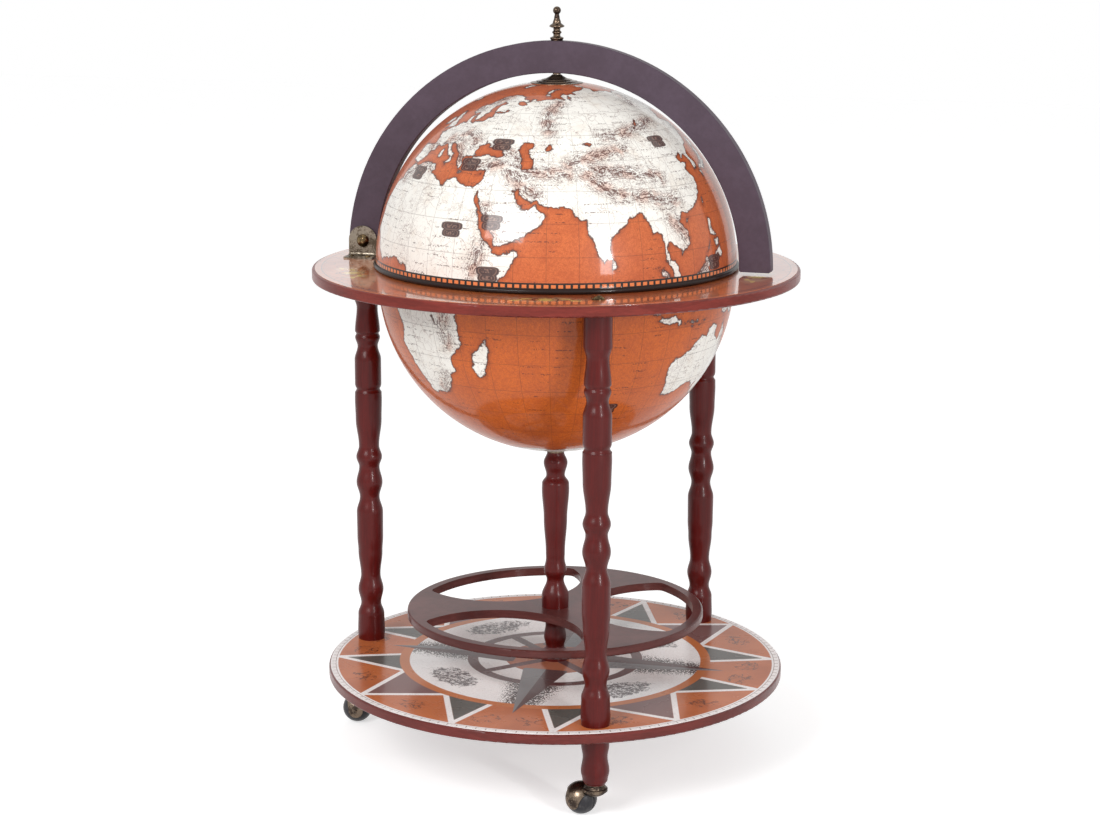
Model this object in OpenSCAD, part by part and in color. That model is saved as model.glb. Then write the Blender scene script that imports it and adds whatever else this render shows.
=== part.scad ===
// Floor globe bar: a printed globe on a three-legged turned stand. The upper
// hemisphere hangs from a plywood half meridian, which tips over on a clevis
// hinge; the lower hemisphere holds a tray for bottles and glasses.
// Millimetres, +Z up, origin on the floor under the centre of the globe.
// The meridian lies in the XZ plane with its hinge at -X.

/* [Table] */
// Height of the printed table surface above the floor
table_h = 591; // [575:1:610]
// Radius of the table ring
table_r = 285; // [278:1:300]
// Thickness of the table ring board
table_t = 12; // [10:0.5:16]
// Thickness of a printed sheet
print_t = 0.6; // [0.4:0.1:1]
// Bare wood left round the table print
print_margin = 3.5; // [2:0.5:8]
// Radius worked on the edges of the boards
edge_r = 2; // [1:0.5:3]

/* [Globe] */
// Radius of the upper hemisphere
dome_r = 210.8; // [205:0.1:214]
// Wall of both hemispheres
globe_wall = 3.5; // [2.5:0.1:5]
// Amount by which the lower hemisphere is smaller than the upper one
bowl_step = 2.3; // [1:0.1:5]
// Height of the upper hemisphere's edge above the table
globe_rise = 3.4; // [2.8:0.1:4.5]
// Gap under the closed lid
lid_gap = 0.4; // [0.3:0.1:0.8]
// Height of the rim moulding round the upper hemisphere
rim_h = 5.6; // [5:0.1:7]
// Depth of the ledge inside the rim moulding
rim_ledge = 3.3; // [2:0.1:6]
// Radius of the cap on the pole
cap_r = 30.4; // [26:0.2:36]
// Thickness of the wooden pad inside the pole
pad_t = 12; // [8:0.5:18]

/* [Meridian] */
// Gap between the upper hemisphere and the meridian
arch_gap = 9.3; // [8.5:0.1:12]
// Width of the meridian
arch_w = 36.7; // [32:0.1:40]
// Thickness of the meridian
arch_t = 15.8; // [12:0.2:20]
// Chamfer along the edges of the meridian
arch_chamfer = 0.8; // [0.4:0.1:1.5]
// Diameter of the rod at the pole
rod_d = 6; // [5:0.5:8]
// Height of the finial
finial_h = 38.8; // [32:0.2:46]

/* [Hinge] */
// Width of the bracket ears
bracket_w = 35.6; // [30:0.2:38]
// Thickness of the bracket plate
bracket_t = 2; // [1.5:0.1:2.5]
// Length of a bracket's foot
bracket_foot = 18; // [16:0.5:24]
// Gap between the swinging end and the table
swing_gap = 1; // [0.8:0.1:2]
// Gap between an ear and the meridian
ear_gap = 0.35; // [0.3:0.05:0.6]
// Diameter of the hinge bolt
bolt_d = 6; // [5:0.5:8]

/* [Bar inside the globe] */
// Width of the ledge that carries the tray
ledge_w = 10; // [7:0.5:13]
// Height of the hoop inside the lower hemisphere
hoop_h = 15; // [12:0.5:22]
// Thickness of the tray
tray_t = 9; // [6:0.5:12]
// Thickness of the floor under the glasses
glass_floor_t = 6; // [4:0.5:9]
// Depth from the tray to the glass floor
glass_depth = 62; // [50:1:75]
// Radius of a bottle hole
bottle_hole_r = 45; // [38:0.5:47]
// Distance of the bottle holes from the centre
bottle_circle_r = 68; // [64:0.5:70]
// Radius of a glass hole
glass_hole_r = 34; // [28:0.5:36]
// Number of glass holes
glass_holes = 6; // [6:6:6]
// Diameter of the tray spacers
spacer_d = 12; // [9:0.5:16]

/* [Stand] */
// Place of the leg axes, from the globe's rim (0) to the table's edge (1)
leg_place = 0.395; // [0.37:0.005:0.42]
// Greatest diameter of a leg
leg_d = 33.5; // [28:0.5:36]
// Greatest diameter of the centre post
post_d = 33; // [26:0.5:36]
// Turn of the legs about the centre
leg_turn = 177.5; // [175:0.5:185]
// Diameter of the bolts and studs in the wood
stud_d = 8; // [6:0.5:10]
// Height of the shelf's printed surface above the floor
shelf_h = 109.5; // [105:0.5:125]
// Amount by which the shelf is smaller than the table
shelf_step = 12; // [6:0.5:16]
// Thickness of the shelf board
shelf_t = 12; // [10:0.5:16]
// Diameter of the domed bolt caps on the table
bolt_cap_d = 16; // [15:0.5:20]

/* [Bottle ring] */
// Height of the bottle ring's top above the floor
ring_h = 175; // [165:1:230]
// Radius of the bottle ring
ring_r = 178; // [170:1:188]
// Thickness of the bottle ring
ring_t = 10; // [8:0.5:14]
// Width of wood outside the ring's openings
ring_band = 12; // [10:0.5:18]
// Radius of the inner edge of an opening
opening_r = 101; // [92:1:106]
// Width of wood between the centre and an opening
ring_hub = 36; // [32:0.5:44]
// Radius in the corners of an opening
opening_corner = 10; // [6:0.5:16]
// Direction of the first opening
ring_turn = 16.7; // [0:0.1:30]

/* [Casters] */
// Radius of the ball wheel
wheel_r = 18; // [16:0.5:20]
// Gap between the ball wheel and its hood
hood_gap = 0.5; // [0.4:0.1:0.8]
// Thickness of the hood
hood_t = 1; // [0.8:0.1:1.5]
// Distance of the wheel behind the swivel axis
trail = 19; // [17:0.5:22]
// Diameter of the wheel axle
axle_d = 3; // [2.5:0.1:4]
// Diameter of the swivel stem
stem_d = 7; // [6:0.5:8]

/* [Hidden] */

$fn = 72;
sphere_fn = 720;

// Clearances: a fixed fit, a running fit on a shaft, and a gap between bodies
fit = 0.1;
run = 0.06;
body_gap = 0.3;

// Levels, from the floor up
hood_r = wheel_r + hood_gap + hood_t;
cup_t = 2.1;
cup_z = wheel_r + hood_r + 0.4;
foot_z = cup_z + cup_t;
shelf_top = shelf_h - print_t;
shelf_z = shelf_top - shelf_t;
foot_h = shelf_z - foot_z;
ring_z = ring_h - ring_t;
table_top = table_h - print_t;
table_z = table_top - table_t;
globe_z = table_h + globe_rise;

// Lower hemisphere and what hangs in it
bowl_r = dome_r - bowl_step;
bowl_in_r = bowl_r - globe_wall;
bowl_z = table_z + 2;
table_hole_r = bowl_in_r - 8;
hoop_in_r = table_hole_r - ledge_w;
tray_z = table_z;
glass_floor_z = tray_z - glass_depth - glass_floor_t;
glass_edge = 3;
glass_circle_r = hoop_in_r - glass_hole_r - glass_edge;
spacer_circle_r = 105;
spacer_tenon_d = 6;
bar_turn = -13.3;

// Stand
rim_out_r = dome_r + rim_h / 2;
leg_circle_r = rim_out_r + (table_r - rim_out_r) * leg_place;
shelf_r = table_r - shelf_step;
leg_angles = [leg_turn, leg_turn + 120, leg_turn + 240];
caster_angles = [193, 160, 75];
stud_foot = 0.35 * foot_h;
stud_leg = 40;
bolt_leg = 55;
bolt_head_d = 14;
bolt_head_h = 4;
washer_r = 10;
washer_t = 5.4;
post_top = bowl_z - bowl_r - washer_t;

// Meridian and hinge
arch_in_r = dome_r + arch_gap;
arch_out_r = arch_in_r + arch_w;
arch_mid_r = arch_in_r + arch_w / 2;
pivot_z = table_h + arch_w / 2 + swing_gap;
pivot_rise = pivot_z - globe_z;
pivot_x = -sqrt(arch_mid_r * arch_mid_r - pivot_rise * pivot_rise);
ear_in = arch_t / 2 + ear_gap;
ear_out = ear_in + bracket_t;
arch_top = globe_z + arch_out_r;
pole_z = globe_z + dome_r;
pad_r = 30;

// Turned outlines: height up the piece and radius, bottom to top. They
// stretch to the length and the thickness of the real piece.
leg_outline = [
    [0, 15.3], [10, 16], [32, 15.4], [46, 11.8], [63.5, 14.8], [82, 11.5], [112, 14.2], [131, 15.2],
    [162, 15.4], [181, 11.5], [199.5, 15.2], [219, 11.9], [231.3, 15], [245, 11.8], [279, 15.1],
    [304, 15.7], [312.5, 15.5], [312.5, 14.9], [316.4, 13.4], [320, 14.9], [322, 15.3], [352.8, 15.3],
    [369.5, 11.7], [380.5, 14.4], [385, 12.9], [387.6, 14.4], [417, 12.1], [428.4, 14.5], [428.4, 15.1],
    [469, 15.1]
];
post_upper_outline = [
    [0, 15.1], [14, 15.3], [33.7, 9.6], [45, 12.9], [60, 10.6], [67.4, 10.8], [110, 13.2], [146, 15.4],
    [153, 15.2], [163, 10.4], [178.6, 13.4], [191.5, 9.5]
];
post_lower_outline = [[0, 15.8], [8, 15.8], [16, 10.5], [27.5, 12.7], [43, 10.9], [52, 15], [55.5, 15]];
foot_outline = [[0, 11.5], [4, 13.6], [14.8, 15.4], [31.8, 13.4], [45, 15.1], [57, 15.5]];
finial_outline = [
    [0, 6.8], [3, 7.9], [5.4, 4.1], [7, 4.1], [9.4, 5.5], [12, 3.9], [13.4, 4.1], [16.2, 8.8],
    [20.6, 4.7], [26, 3.2], [30.2, 2.5]
];
finial_ball_r = 4.6;
collar_outline = [[0, 7.4], [2.6, 11.4], [3.4, 11.4], [5.2, 14.4], [8, 14.4], [9.6, 12.6], [11.6, 11.3]];
collar_len = 11.6;
collar_d = 28.8;

function ease(u) = (1 - cos(180 * u)) / 2;

// A turned outline as points: each stretch between two stations is an S-shaped
// curve, flat at both ends, so that beads and coves run into each other.
function turned_points(outline, length, steps, scale_r) = [
    let (last = outline[len(outline) - 1], scale_z = length / last[0])
    for (i = [0 : len(outline) - 2]) for (k = [0 : steps - 1])
        let (a = outline[i], b = outline[i + 1], u = k / steps)
        if (k == 0 || (abs(b[1] - a[1]) > 0.05 && b[0] > a[0]))
            [(a[1] + (b[1] - a[1]) * ease(u)) * scale_r, (a[0] + (b[0] - a[0]) * u) * scale_z],
    [outline[len(outline) - 1][1] * scale_r, length]
];

// A piece turned on a lathe, standing on z = 0
module turned(outline, length, steps = 4, scale_r = 1) {
    points = turned_points(outline, length, steps, scale_r);
    rotate_extrude() polygon(concat([[0, 0]], points, [[0, length]]));
}

// A round board standing on z = 0 with rounded edges
module board(r, t, e) {
    rotate_extrude() {
        square([r - e, t]);
        translate([0, e]) square([r, t - 2 * e]);
        translate([r - e, e]) circle(e);
        translate([r - e, t - e]) circle(e);
    }
}

// A hole of diameter d from z0 to z1, running over by a millimetre at both ends
module through(d, z0, z1) {
    translate([0, 0, z0 - 1]) cylinder(d = d, h = z1 - z0 + 2);
}

// What stands at each leg
module at_legs(list = [0, 1, 2]) {
    for (i = list) rotate(leg_angles[i]) translate([leg_circle_r, 0, 0]) children();
}

// What stands at each caster's swivel axis, with +X pointing to the wheel
module at_caster(i) {
    rotate(leg_angles[i]) translate([leg_circle_r, 0, 0]) rotate(caster_angles[i] - leg_angles[i]) children();
}

// Places of the tray's holes
module at_bottles() {
    for (i = [0 : 2]) rotate(bar_turn + 120 * i) translate([bottle_circle_r, 0, 0]) children();
}

module at_glasses() {
    for (i = [0 : glass_holes - 1]) rotate(bar_turn + 30 + 360 / glass_holes * i)
        translate([glass_circle_r, 0, 0]) children();
}

module at_spacers() {
    for (i = [0 : 2]) rotate(bar_turn + 60 + 120 * i) translate([spacer_circle_r, 0, 0]) children();
}

// Places of the bracket screws: two in each foot
bracket_screw_d = 3.4;
bracket_screw_x = 10;
bracket_screw_y = ear_out + bracket_foot * 0.6;
module at_bracket_screws() {
    for (sx = [-1, 1], sy = [-1, 1])
        translate([pivot_x + sx * bracket_screw_x, sy * bracket_screw_y, 0]) children();
}

// Places of the screws that hold the hoop to the table
hoop_screws_n = 6;
hoop_screw_d = 4;
hoop_screw_head_d = 7.2;
hoop_screw_r = table_hole_r + 3.4;
module at_hoop_screws() {
    for (i = [0 : hoop_screws_n - 1]) rotate(bar_turn + 360 / hoop_screws_n * i)
        translate([hoop_screw_r, 0, 0]) children();
}

/* ---- Table ---- */

module table_ring() {
    color([0.55, 0.27, 0.23]) difference() {
        translate([0, 0, table_z]) board(table_r, table_t, edge_r);
        through(2 * table_hole_r, table_z, table_top);
        at_legs() through(stud_d + 2 * fit, table_z, table_top);
        at_legs() translate([0, 0, table_top - bolt_head_h - fit])
            cylinder(d = bolt_head_d + 2 * fit, h = bolt_head_h + 2);
        at_bracket_screws() translate([0, 0, table_top - bracket_screw_len])
            cylinder(d = bracket_screw_d + 2 * fit, h = bracket_screw_len + 1);
        at_hoop_screws() translate([0, 0, table_z - 1])
            cylinder(d = hoop_screw_d + 2 * fit, h = hoop_screw_bite + 1);
    }
}

module table_print() {
    color([0.72, 0.4, 0.24]) difference() {
        translate([0, 0, table_top]) cylinder(r = table_r - print_margin, h = print_t);
        through(2 * table_hole_r, table_top, table_h);
        at_legs() through(bolt_head_d + 2 * fit, table_top, table_h);
        at_bracket_screws() through(bracket_screw_d + 2 * fit, table_top, table_h);
    }
}

/* ---- Lower hemisphere and bar ---- */

module lower_bowl() {
    color([0.7, 0.36, 0.2]) rotate_extrude($fn = 120) difference() {
        translate([0, bowl_z]) circle(bowl_r, $fn = sphere_fn);
        translate([0, bowl_z]) circle(bowl_in_r, $fn = sphere_fn);
        translate([-bowl_r - 1, table_z]) square([2 * bowl_r + 2, bowl_r + 10]);
        translate([-bowl_r - 1, bowl_z - bowl_r - 1]) square([bowl_r + 1 + stud_d / 2 + fit, bowl_r + 2]);
    }
}

module bowl_hoop() {
    color([0.6, 0.45, 0.3]) difference() {
        rotate_extrude($fn = 120) intersection() {
            translate([hoop_in_r, table_z - hoop_h]) square([bowl_r - hoop_in_r, hoop_h]);
            translate([0, bowl_z]) circle(bowl_in_r - fit, $fn = sphere_fn);
        }
        at_hoop_screws() through(hoop_screw_d + 2 * fit, table_z - hoop_h, table_z);
    }
}

hoop_screw_bite = 9;
module hoop_screws() {
    color("goldenrod") at_hoop_screws() {
        translate([0, 0, table_z - hoop_h]) cylinder(d = hoop_screw_d, h = hoop_h + hoop_screw_bite - 1);
        translate([0, 0, table_z - hoop_h - 2.5]) cylinder(d1 = 5, d2 = hoop_screw_head_d, h = 2.5);
    }
}

module bar_tray() {
    color([0.42, 0.2, 0.16]) difference() {
        translate([0, 0, tray_z]) board(table_hole_r - 0.5, tray_t, 1.5);
        at_bottles() through(2 * bottle_hole_r, tray_z, tray_z + tray_t);
        at_glasses() through(2 * glass_hole_r, tray_z, tray_z + tray_t);
        at_spacers() through(spacer_tenon_d + 2 * fit, tray_z, tray_z + tray_t);
    }
}

module glass_floor() {
    color([0.42, 0.2, 0.16]) difference() {
        translate([0, 0, glass_floor_z]) board(hoop_in_r - 1, glass_floor_t, 1.5);
        at_bottles() through(2 * bottle_hole_r, glass_floor_z, glass_floor_z + glass_floor_t);
        at_spacers() through(spacer_tenon_d + 2 * fit, glass_floor_z, glass_floor_z + glass_floor_t);
    }
}

module tray_spacers() {
    color([0.5, 0.25, 0.18]) at_spacers() {
        translate([0, 0, glass_floor_z + glass_floor_t]) cylinder(d = spacer_d, h = glass_depth);
        translate([0, 0, glass_floor_z]) cylinder(d = spacer_tenon_d, h = glass_floor_t + glass_depth + tray_t);
    }
}

/* ---- Hinge ---- */

// One stamped angle bracket: a round-topped ear bent out into a foot
module bracket() {
    bend_in = 3;
    bend_out = bend_in + bracket_t;
    ear_h = pivot_z - table_h;
    difference() {
        intersection() {
            rotate([90, 0, 90]) linear_extrude(bracket_w, center = true) {
                translate([ear_in, bend_out]) square([bracket_t, ear_h + bracket_w / 2 - bend_out]);
                translate([ear_in + bend_out, 0]) square([bracket_foot - bend_out + bracket_t, bracket_t]);
                intersection() {
                    translate([ear_in + bend_out, bend_out]) difference() {
                        circle(bend_out);
                        circle(bend_in);
                    }
                    translate([ear_in, 0]) square(bend_out);
                }
            }
            rotate([-90, 0, 0]) linear_extrude(ear_out + 2 * bracket_foot) {
                translate([0, -ear_h]) circle(bracket_w / 2);
                translate([-bracket_w / 2, -ear_h]) square([bracket_w, ear_h]);
            }
        }
        translate([0, 0, ear_h]) rotate([-90, 0, 0]) cylinder(d = bolt_d + 2 * fit, h = ear_out + 5);
        for (s = [-1, 1]) translate([s * bracket_screw_x, bracket_screw_y, -1])
            cylinder(d = bracket_screw_d + 2 * fit, h = bracket_t + 2);
    }
}

module bracket_back() {
    color([0.47, 0.4, 0.28]) translate([pivot_x, 0, table_h]) bracket();
}

module bracket_front() {
    color([0.47, 0.4, 0.28]) translate([pivot_x, 0, table_h]) rotate(180) bracket();
}

bracket_screw_len = 10;
module bracket_screws() {
    color([0.5, 0.43, 0.3]) at_bracket_screws() {
        translate([0, 0, table_top - bracket_screw_len + 1])
            cylinder(d = bracket_screw_d, h = bracket_screw_len - 1 + print_t + bracket_t);
        translate([0, 0, table_h + bracket_t]) intersection() {
            cylinder(r = 3.4, h = 2.2);
            translate([0, 0, -2.2]) sphere(4.2);
        }
    }
}

bolt_head_r = 7.8;
bolt_head_dome = 4.4;
bolt_tail = 7;
module hinge_bolt() {
    dome_r_bolt = (bolt_head_r * bolt_head_r + bolt_head_dome * bolt_head_dome) / (2 * bolt_head_dome);
    color([0.5, 0.43, 0.3]) translate([pivot_x, 0, pivot_z]) rotate([90, 0, 0]) {
        translate([0, 0, -ear_out - bolt_tail]) cylinder(d = bolt_d, h = 2 * ear_out + bolt_tail + 1);
        intersection() {
            translate([0, 0, ear_out]) cylinder(r = bolt_head_r, h = bolt_head_dome);
            translate([0, 0, ear_out + bolt_head_dome - dome_r_bolt]) sphere(dome_r_bolt);
        }
    }
}

module hinge_nut() {
    nut_r = bolt_d * 0.95;
    color([0.5, 0.43, 0.3]) translate([pivot_x, ear_out, pivot_z]) rotate([-90, 0, 0]) difference() {
        union() {
            cylinder(r = nut_r, h = 4);
            translate([0, 0, 4]) sphere(nut_r * 0.86);
        }
        translate([0, 0, -1]) cylinder(d = bolt_d + 2 * fit, h = bolt_tail + 1 + fit);
    }
}

/* ---- Legs, feet and centre post ---- */

module leg(i) {
    color([0.4, 0.13, 0.13]) at_legs([i]) difference() {
        translate([0, 0, shelf_h]) turned(leg_outline, table_z - shelf_h, 3, leg_d / 32);
        translate([0, 0, shelf_h - 1]) cylinder(d = stud_d + 2 * fit, h = stud_leg + 1.5);
        translate([0, 0, table_z - bolt_leg]) cylinder(d = stud_d + 2 * fit, h = bolt_leg + 1);
    }
}

module foot(i) {
    color([0.45, 0.16, 0.14]) at_legs([i]) difference() {
        translate([0, 0, foot_z]) turned(foot_outline, foot_h, 4, leg_d / 32);
        translate([0, 0, shelf_z - stud_foot - 0.5]) cylinder(d = stud_d + 2 * fit, h = stud_foot + 1.5);
        translate([0, 0, foot_z - 1]) cylinder(d = sleeve_d + 2 * fit, h = sleeve_h + 1.5);
    }
}

module leg_1() { leg(0); }
module leg_2() { leg(1); }
module leg_3() { leg(2); }
module foot_1() { foot(0); }
module foot_2() { foot(1); }
module foot_3() { foot(2); }

socket_d = 5;
socket_h = 3;
module leg_bolts() {
    color("dimgray") at_legs() difference() {
        union() {
            translate([0, 0, table_z - bolt_leg + 1]) cylinder(d = stud_d, h = bolt_leg + table_t - 2);
            translate([0, 0, table_top - bolt_head_h]) cylinder(d = bolt_head_d, h = bolt_head_h);
        }
        translate([0, 0, table_top - socket_h]) cylinder(d = socket_d, h = socket_h + 1);
    }
}

// Domed caps over the two bolts that the hinge doesn't cover
bolt_cap_h = 5;
module bolt_caps() {
    cap_edge = 1;
    rise = bolt_cap_h - cap_edge;
    sphere_r = (bolt_cap_d * bolt_cap_d / 4 + rise * rise) / (2 * rise);
    color([0.5, 0.43, 0.3]) at_legs([1, 2]) {
        translate([0, 0, table_h]) intersection() {
            cylinder(d = bolt_cap_d, h = bolt_cap_h);
            translate([0, 0, bolt_cap_h - sphere_r]) sphere(sphere_r);
        }
        translate([0, 0, table_top - socket_h + 0.5])
            cylinder(d = socket_d - 2 * fit, h = socket_h + print_t);
    }
}

module foot_studs() {
    color("dimgray") at_legs() translate([0, 0, shelf_z - stud_foot])
        cylinder(d = stud_d, h = stud_foot + shelf_t + print_t + stud_leg);
}

module post_upper() {
    color([0.45, 0.16, 0.14]) difference() {
        translate([0, 0, ring_h]) turned(post_upper_outline, post_top - ring_h, 4, post_d / 31);
        through(stud_d + 2 * fit, ring_h, post_top);
    }
}

module post_lower() {
    color([0.4, 0.14, 0.13]) difference() {
        translate([0, 0, shelf_h]) turned(post_lower_outline, ring_z - shelf_h, 4, post_d / 31);
        through(stud_d + 2 * fit, shelf_h, ring_z);
    }
}

module post_washer() {
    bore_r = stud_d / 2 + fit;
    color([0.16, 0.12, 0.11]) rotate_extrude() difference() {
        translate([bore_r, post_top]) square([washer_r - bore_r, washer_t + 1]);
        translate([0, bowl_z]) circle(bowl_r, $fn = sphere_fn);
    }
}

// The rod through shelf, posts, ring and bowl, with a nut at each end
nut_t = 6;
nut_d = 15;
plate_t = 1.6;
plate_d = 24;
plate_low = shelf_z - plate_t;
rod_low = plate_low - nut_t - 2;
plate_high = bowl_z - sqrt(bowl_in_r * bowl_in_r - plate_d * plate_d / 4);
rod_high = plate_high + plate_t + nut_t + 2;
module post_rod() {
    color("dimgray") translate([0, 0, rod_low]) cylinder(d = stud_d, h = rod_high - rod_low);
}

module post_nuts() {
    nut_bore = stud_d + 2 * fit;
    color("gray") difference() {
        union() {
            translate([0, 0, plate_high]) cylinder(d = plate_d, h = plate_t);
            translate([0, 0, plate_high + plate_t - 0.1]) cylinder(d = nut_d, h = nut_t + 0.1, $fn = 6);
            translate([0, 0, plate_low]) cylinder(d = plate_d, h = plate_t);
            translate([0, 0, plate_low - nut_t]) cylinder(d = nut_d, h = nut_t + 0.1, $fn = 6);
        }
        through(nut_bore, plate_low - nut_t, plate_high + plate_t + nut_t);
    }
}

/* ---- Bottle ring and shelf ---- */

// One opening: a lens between two arcs. Each tip is cut off where the arcs
// touch the circle that rounds it.
module ring_opening() {
    outer = ring_r - ring_band;
    mid = ring_hub + opening_r;
    ra = outer - opening_corner;
    rb = opening_r - opening_corner;
    px = (ra * ra - rb * rb + mid * mid) / (2 * mid);
    py = sqrt(ra * ra - px * px);
    on_outer = [px, py] * outer / ra;
    on_inner = [mid, 0] + [px - mid, py] * opening_r / rb;
    tip = [px, py] + ([px, py] / ra + [px - mid, py] / rb) * 4 * opening_corner;
    difference() {
        intersection() {
            circle(outer, $fn = 144);
            translate([mid, 0]) circle(opening_r, $fn = 144);
        }
        for (s = [0, 1]) mirror([0, s]) polygon([on_outer, on_inner, tip]);
    }
    for (s = [-1, 1]) translate([px, s * py]) circle(opening_corner);
}

module bottle_ring() {
    color([0.36, 0.24, 0.23]) difference() {
        translate([0, 0, ring_z]) board(ring_r, ring_t, edge_r);
        for (i = [0 : 2]) rotate(ring_turn + 120 * i) translate([0, 0, ring_z - 1])
            linear_extrude(ring_t + 2) ring_opening();
        through(stud_d + 2 * fit, ring_z, ring_h);
    }
}

module shelf() {
    color([0.5, 0.24, 0.21]) difference() {
        translate([0, 0, shelf_z]) board(shelf_r, shelf_t, edge_r);
        through(stud_d + 2 * fit, shelf_z, shelf_top);
        at_legs() through(stud_d + 2 * fit, shelf_z, shelf_top);
    }
}

module shelf_print() {
    color([0.76, 0.5, 0.38]) difference() {
        translate([0, 0, shelf_top]) cylinder(r = shelf_r - edge_r, h = print_t);
        through(stud_d + 2 * fit, shelf_top, shelf_h);
        at_legs() through(stud_d + 2 * fit, shelf_top, shelf_h);
    }
}

/* ---- Lid: meridian, finial and rod ---- */

module meridian_arch() {
    c = arch_chamfer;
    half = arch_t / 2;
    tilt = asin(pivot_rise / arch_mid_r);
    end_cut = 1.6;
    color([0.36, 0.3, 0.34]) difference() {
        union() {
            translate([0, 0, globe_z]) difference() {
                rotate([90, 0, 0]) rotate_extrude($fn = 180) polygon([
                    [arch_in_r + c, -half], [arch_out_r - c, -half], [arch_out_r, -half + c],
                    [arch_out_r, half - c], [arch_out_r - c, half], [arch_in_r + c, half],
                    [arch_in_r, half - c], [arch_in_r, -half + c]
                ]);
                translate([-2 * arch_out_r, -arch_t, -2 * arch_out_r])
                    cube([4 * arch_out_r, 2 * arch_t, 2 * arch_out_r]);
                rotate([0, tilt, 0]) translate([-2 * arch_out_r, -arch_t, 1 - arch_out_r])
                    cube([2 * arch_out_r, 2 * arch_t, arch_out_r]);
            }
            translate([pivot_x, 0, pivot_z]) rotate([90, 0, 0]) rotate_extrude() polygon([
                [0, -half], [arch_w / 2 - c, -half], [arch_w / 2, c - half],
                [arch_w / 2, half - c], [arch_w / 2 - c, half], [0, half]
            ]);
        }
        translate([pivot_x, 0, pivot_z]) rotate([90, 0, 0])
            cylinder(d = bolt_d + 2 * run, h = arch_t + 2, center = true);
        through(rod_d + 2 * fit, globe_z + arch_in_r - 10, arch_top);
        for (x = [arch_in_r, arch_out_r]) translate([x, 0, globe_z]) rotate([0, 45, 0])
            cube([end_cut * 1.4, arch_t + 2, end_cut * 1.4], center = true);
    }
}

rod_bite = 11;
module finial() {
    color([0.42, 0.38, 0.3]) translate([0, 0, arch_top]) difference() {
        union() {
            turned(finial_outline, finial_h - 2 * finial_ball_r + 0.6, 5);
            translate([0, 0, finial_h - finial_ball_r]) sphere(finial_ball_r, $fn = 48);
        }
        translate([0, 0, -1]) cylinder(d = rod_thread_d + 2 * fit, h = rod_bite + 1.5);
    }
}

rod_thread_d = 5;
rod_nut_h = 6;
pad_z = globe_z + sqrt(pow(dome_r - globe_wall, 2) - pad_r * pad_r) - pad_t / 2;
rod_nut_z = pad_z - body_gap - rod_nut_h;
module lid_rod() {
    rod_z = rod_nut_z - 3;
    color("gray") {
        translate([0, 0, rod_z]) cylinder(d = rod_d, h = arch_top - rod_z);
        translate([0, 0, arch_top - 1]) cylinder(d = rod_thread_d, h = rod_bite + 1);
    }
}

cap_top = globe_z + arch_in_r - 2.1;
collar_r = rod_d / 2 + 1.6;
module spacer_collar() {
    low = cap_top + body_gap;
    color([0.2, 0.16, 0.14]) difference() {
        translate([0, 0, low])
            cylinder(r = collar_r, h = globe_z + sqrt(arch_in_r * arch_in_r - collar_r * collar_r) - low);
        through(rod_d + 2 * fit, cap_top, arch_top);
    }
}

module rod_nut() {
    color("gray") difference() {
        translate([0, 0, rod_nut_z]) cylinder(r = rod_d, h = rod_nut_h, $fn = 6);
        through(rod_d + 2 * fit, rod_nut_z, rod_nut_z + rod_nut_h);
    }
}

/* ---- Upper hemisphere, which turns on the rod ---- */

module dome() {
    color([0.8, 0.45, 0.28]) rotate_extrude($fn = 120) difference() {
        translate([0, globe_z]) circle(dome_r, $fn = sphere_fn);
        translate([0, globe_z]) circle(dome_r - globe_wall, $fn = sphere_fn);
        translate([-dome_r - 1, globe_z - dome_r - 2]) square([2 * dome_r + 2, dome_r + 2]);
        translate([-dome_r - 1, globe_z - 1]) square([dome_r + 1 + rod_d / 2 + run, dome_r + 2]);
    }
}

// A half-round moulding with a rebate for the hemisphere's edge
module dome_rim() {
    low = table_h + lid_gap;
    in_r = dome_r - globe_wall;
    color([0.2, 0.13, 0.12]) rotate_extrude($fn = 120) difference() {
        union() {
            translate([in_r - rim_ledge, low]) square([globe_wall + rim_ledge, globe_z - low]);
            intersection() {
                translate([dome_r, low + rim_h / 2]) circle(rim_h / 2, $fn = 32);
                translate([dome_r - 1, low]) square([rim_h, rim_h]);
            }
        }
        translate([0, globe_z]) square([dome_r + fit, rim_h]);
    }
}

// A spun cap with three steps, hollowed to sit on the hemisphere
module pole_cap() {
    edge_z = globe_z + sqrt(dome_r * dome_r - cap_r * cap_r);
    h = cap_top - edge_z;
    step_h = 0.6;
    rise = (h - 3 * step_h) / 7;
    color([0.22, 0.17, 0.13]) rotate_extrude($fn = 96) difference() {
        polygon([
            [rod_d / 2 + run, edge_z - 1], [cap_r, edge_z - 1], [cap_r, edge_z + step_h],
            [cap_r * 0.8, edge_z + step_h + rise], [cap_r * 0.78, edge_z + 2 * step_h + rise],
            [cap_r * 0.6, edge_z + 2 * step_h + 2 * rise], [cap_r * 0.58, edge_z + 3 * step_h + 2 * rise],
            [cap_r * 0.41, edge_z + 3 * step_h + 3.2 * rise], [cap_r * 0.36, edge_z + 3 * step_h + 3.8 * rise],
            [cap_r * 0.24, edge_z + 3 * step_h + 5.6 * rise], [cap_r * 0.18, cap_top],
            [rod_d / 2 + run, cap_top]
        ]);
        translate([0, globe_z]) circle(dome_r, $fn = sphere_fn);
    }
}

// The wooden pad that spreads the nut's pull inside the hemisphere
module pole_pad() {
    bore_r = rod_d / 2 + run;
    color([0.7, 0.55, 0.38]) rotate_extrude() intersection() {
        translate([bore_r, pad_z]) square([pad_r - bore_r, pad_t]);
        translate([0, globe_z]) circle(dome_r - globe_wall - fit, $fn = sphere_fn);
    }
}

/* ---- Casters ---- */

sleeve_d = stem_d + 2.2;
sleeve_h = 0.53 * foot_h;
stem_h = sleeve_h - 3;

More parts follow.
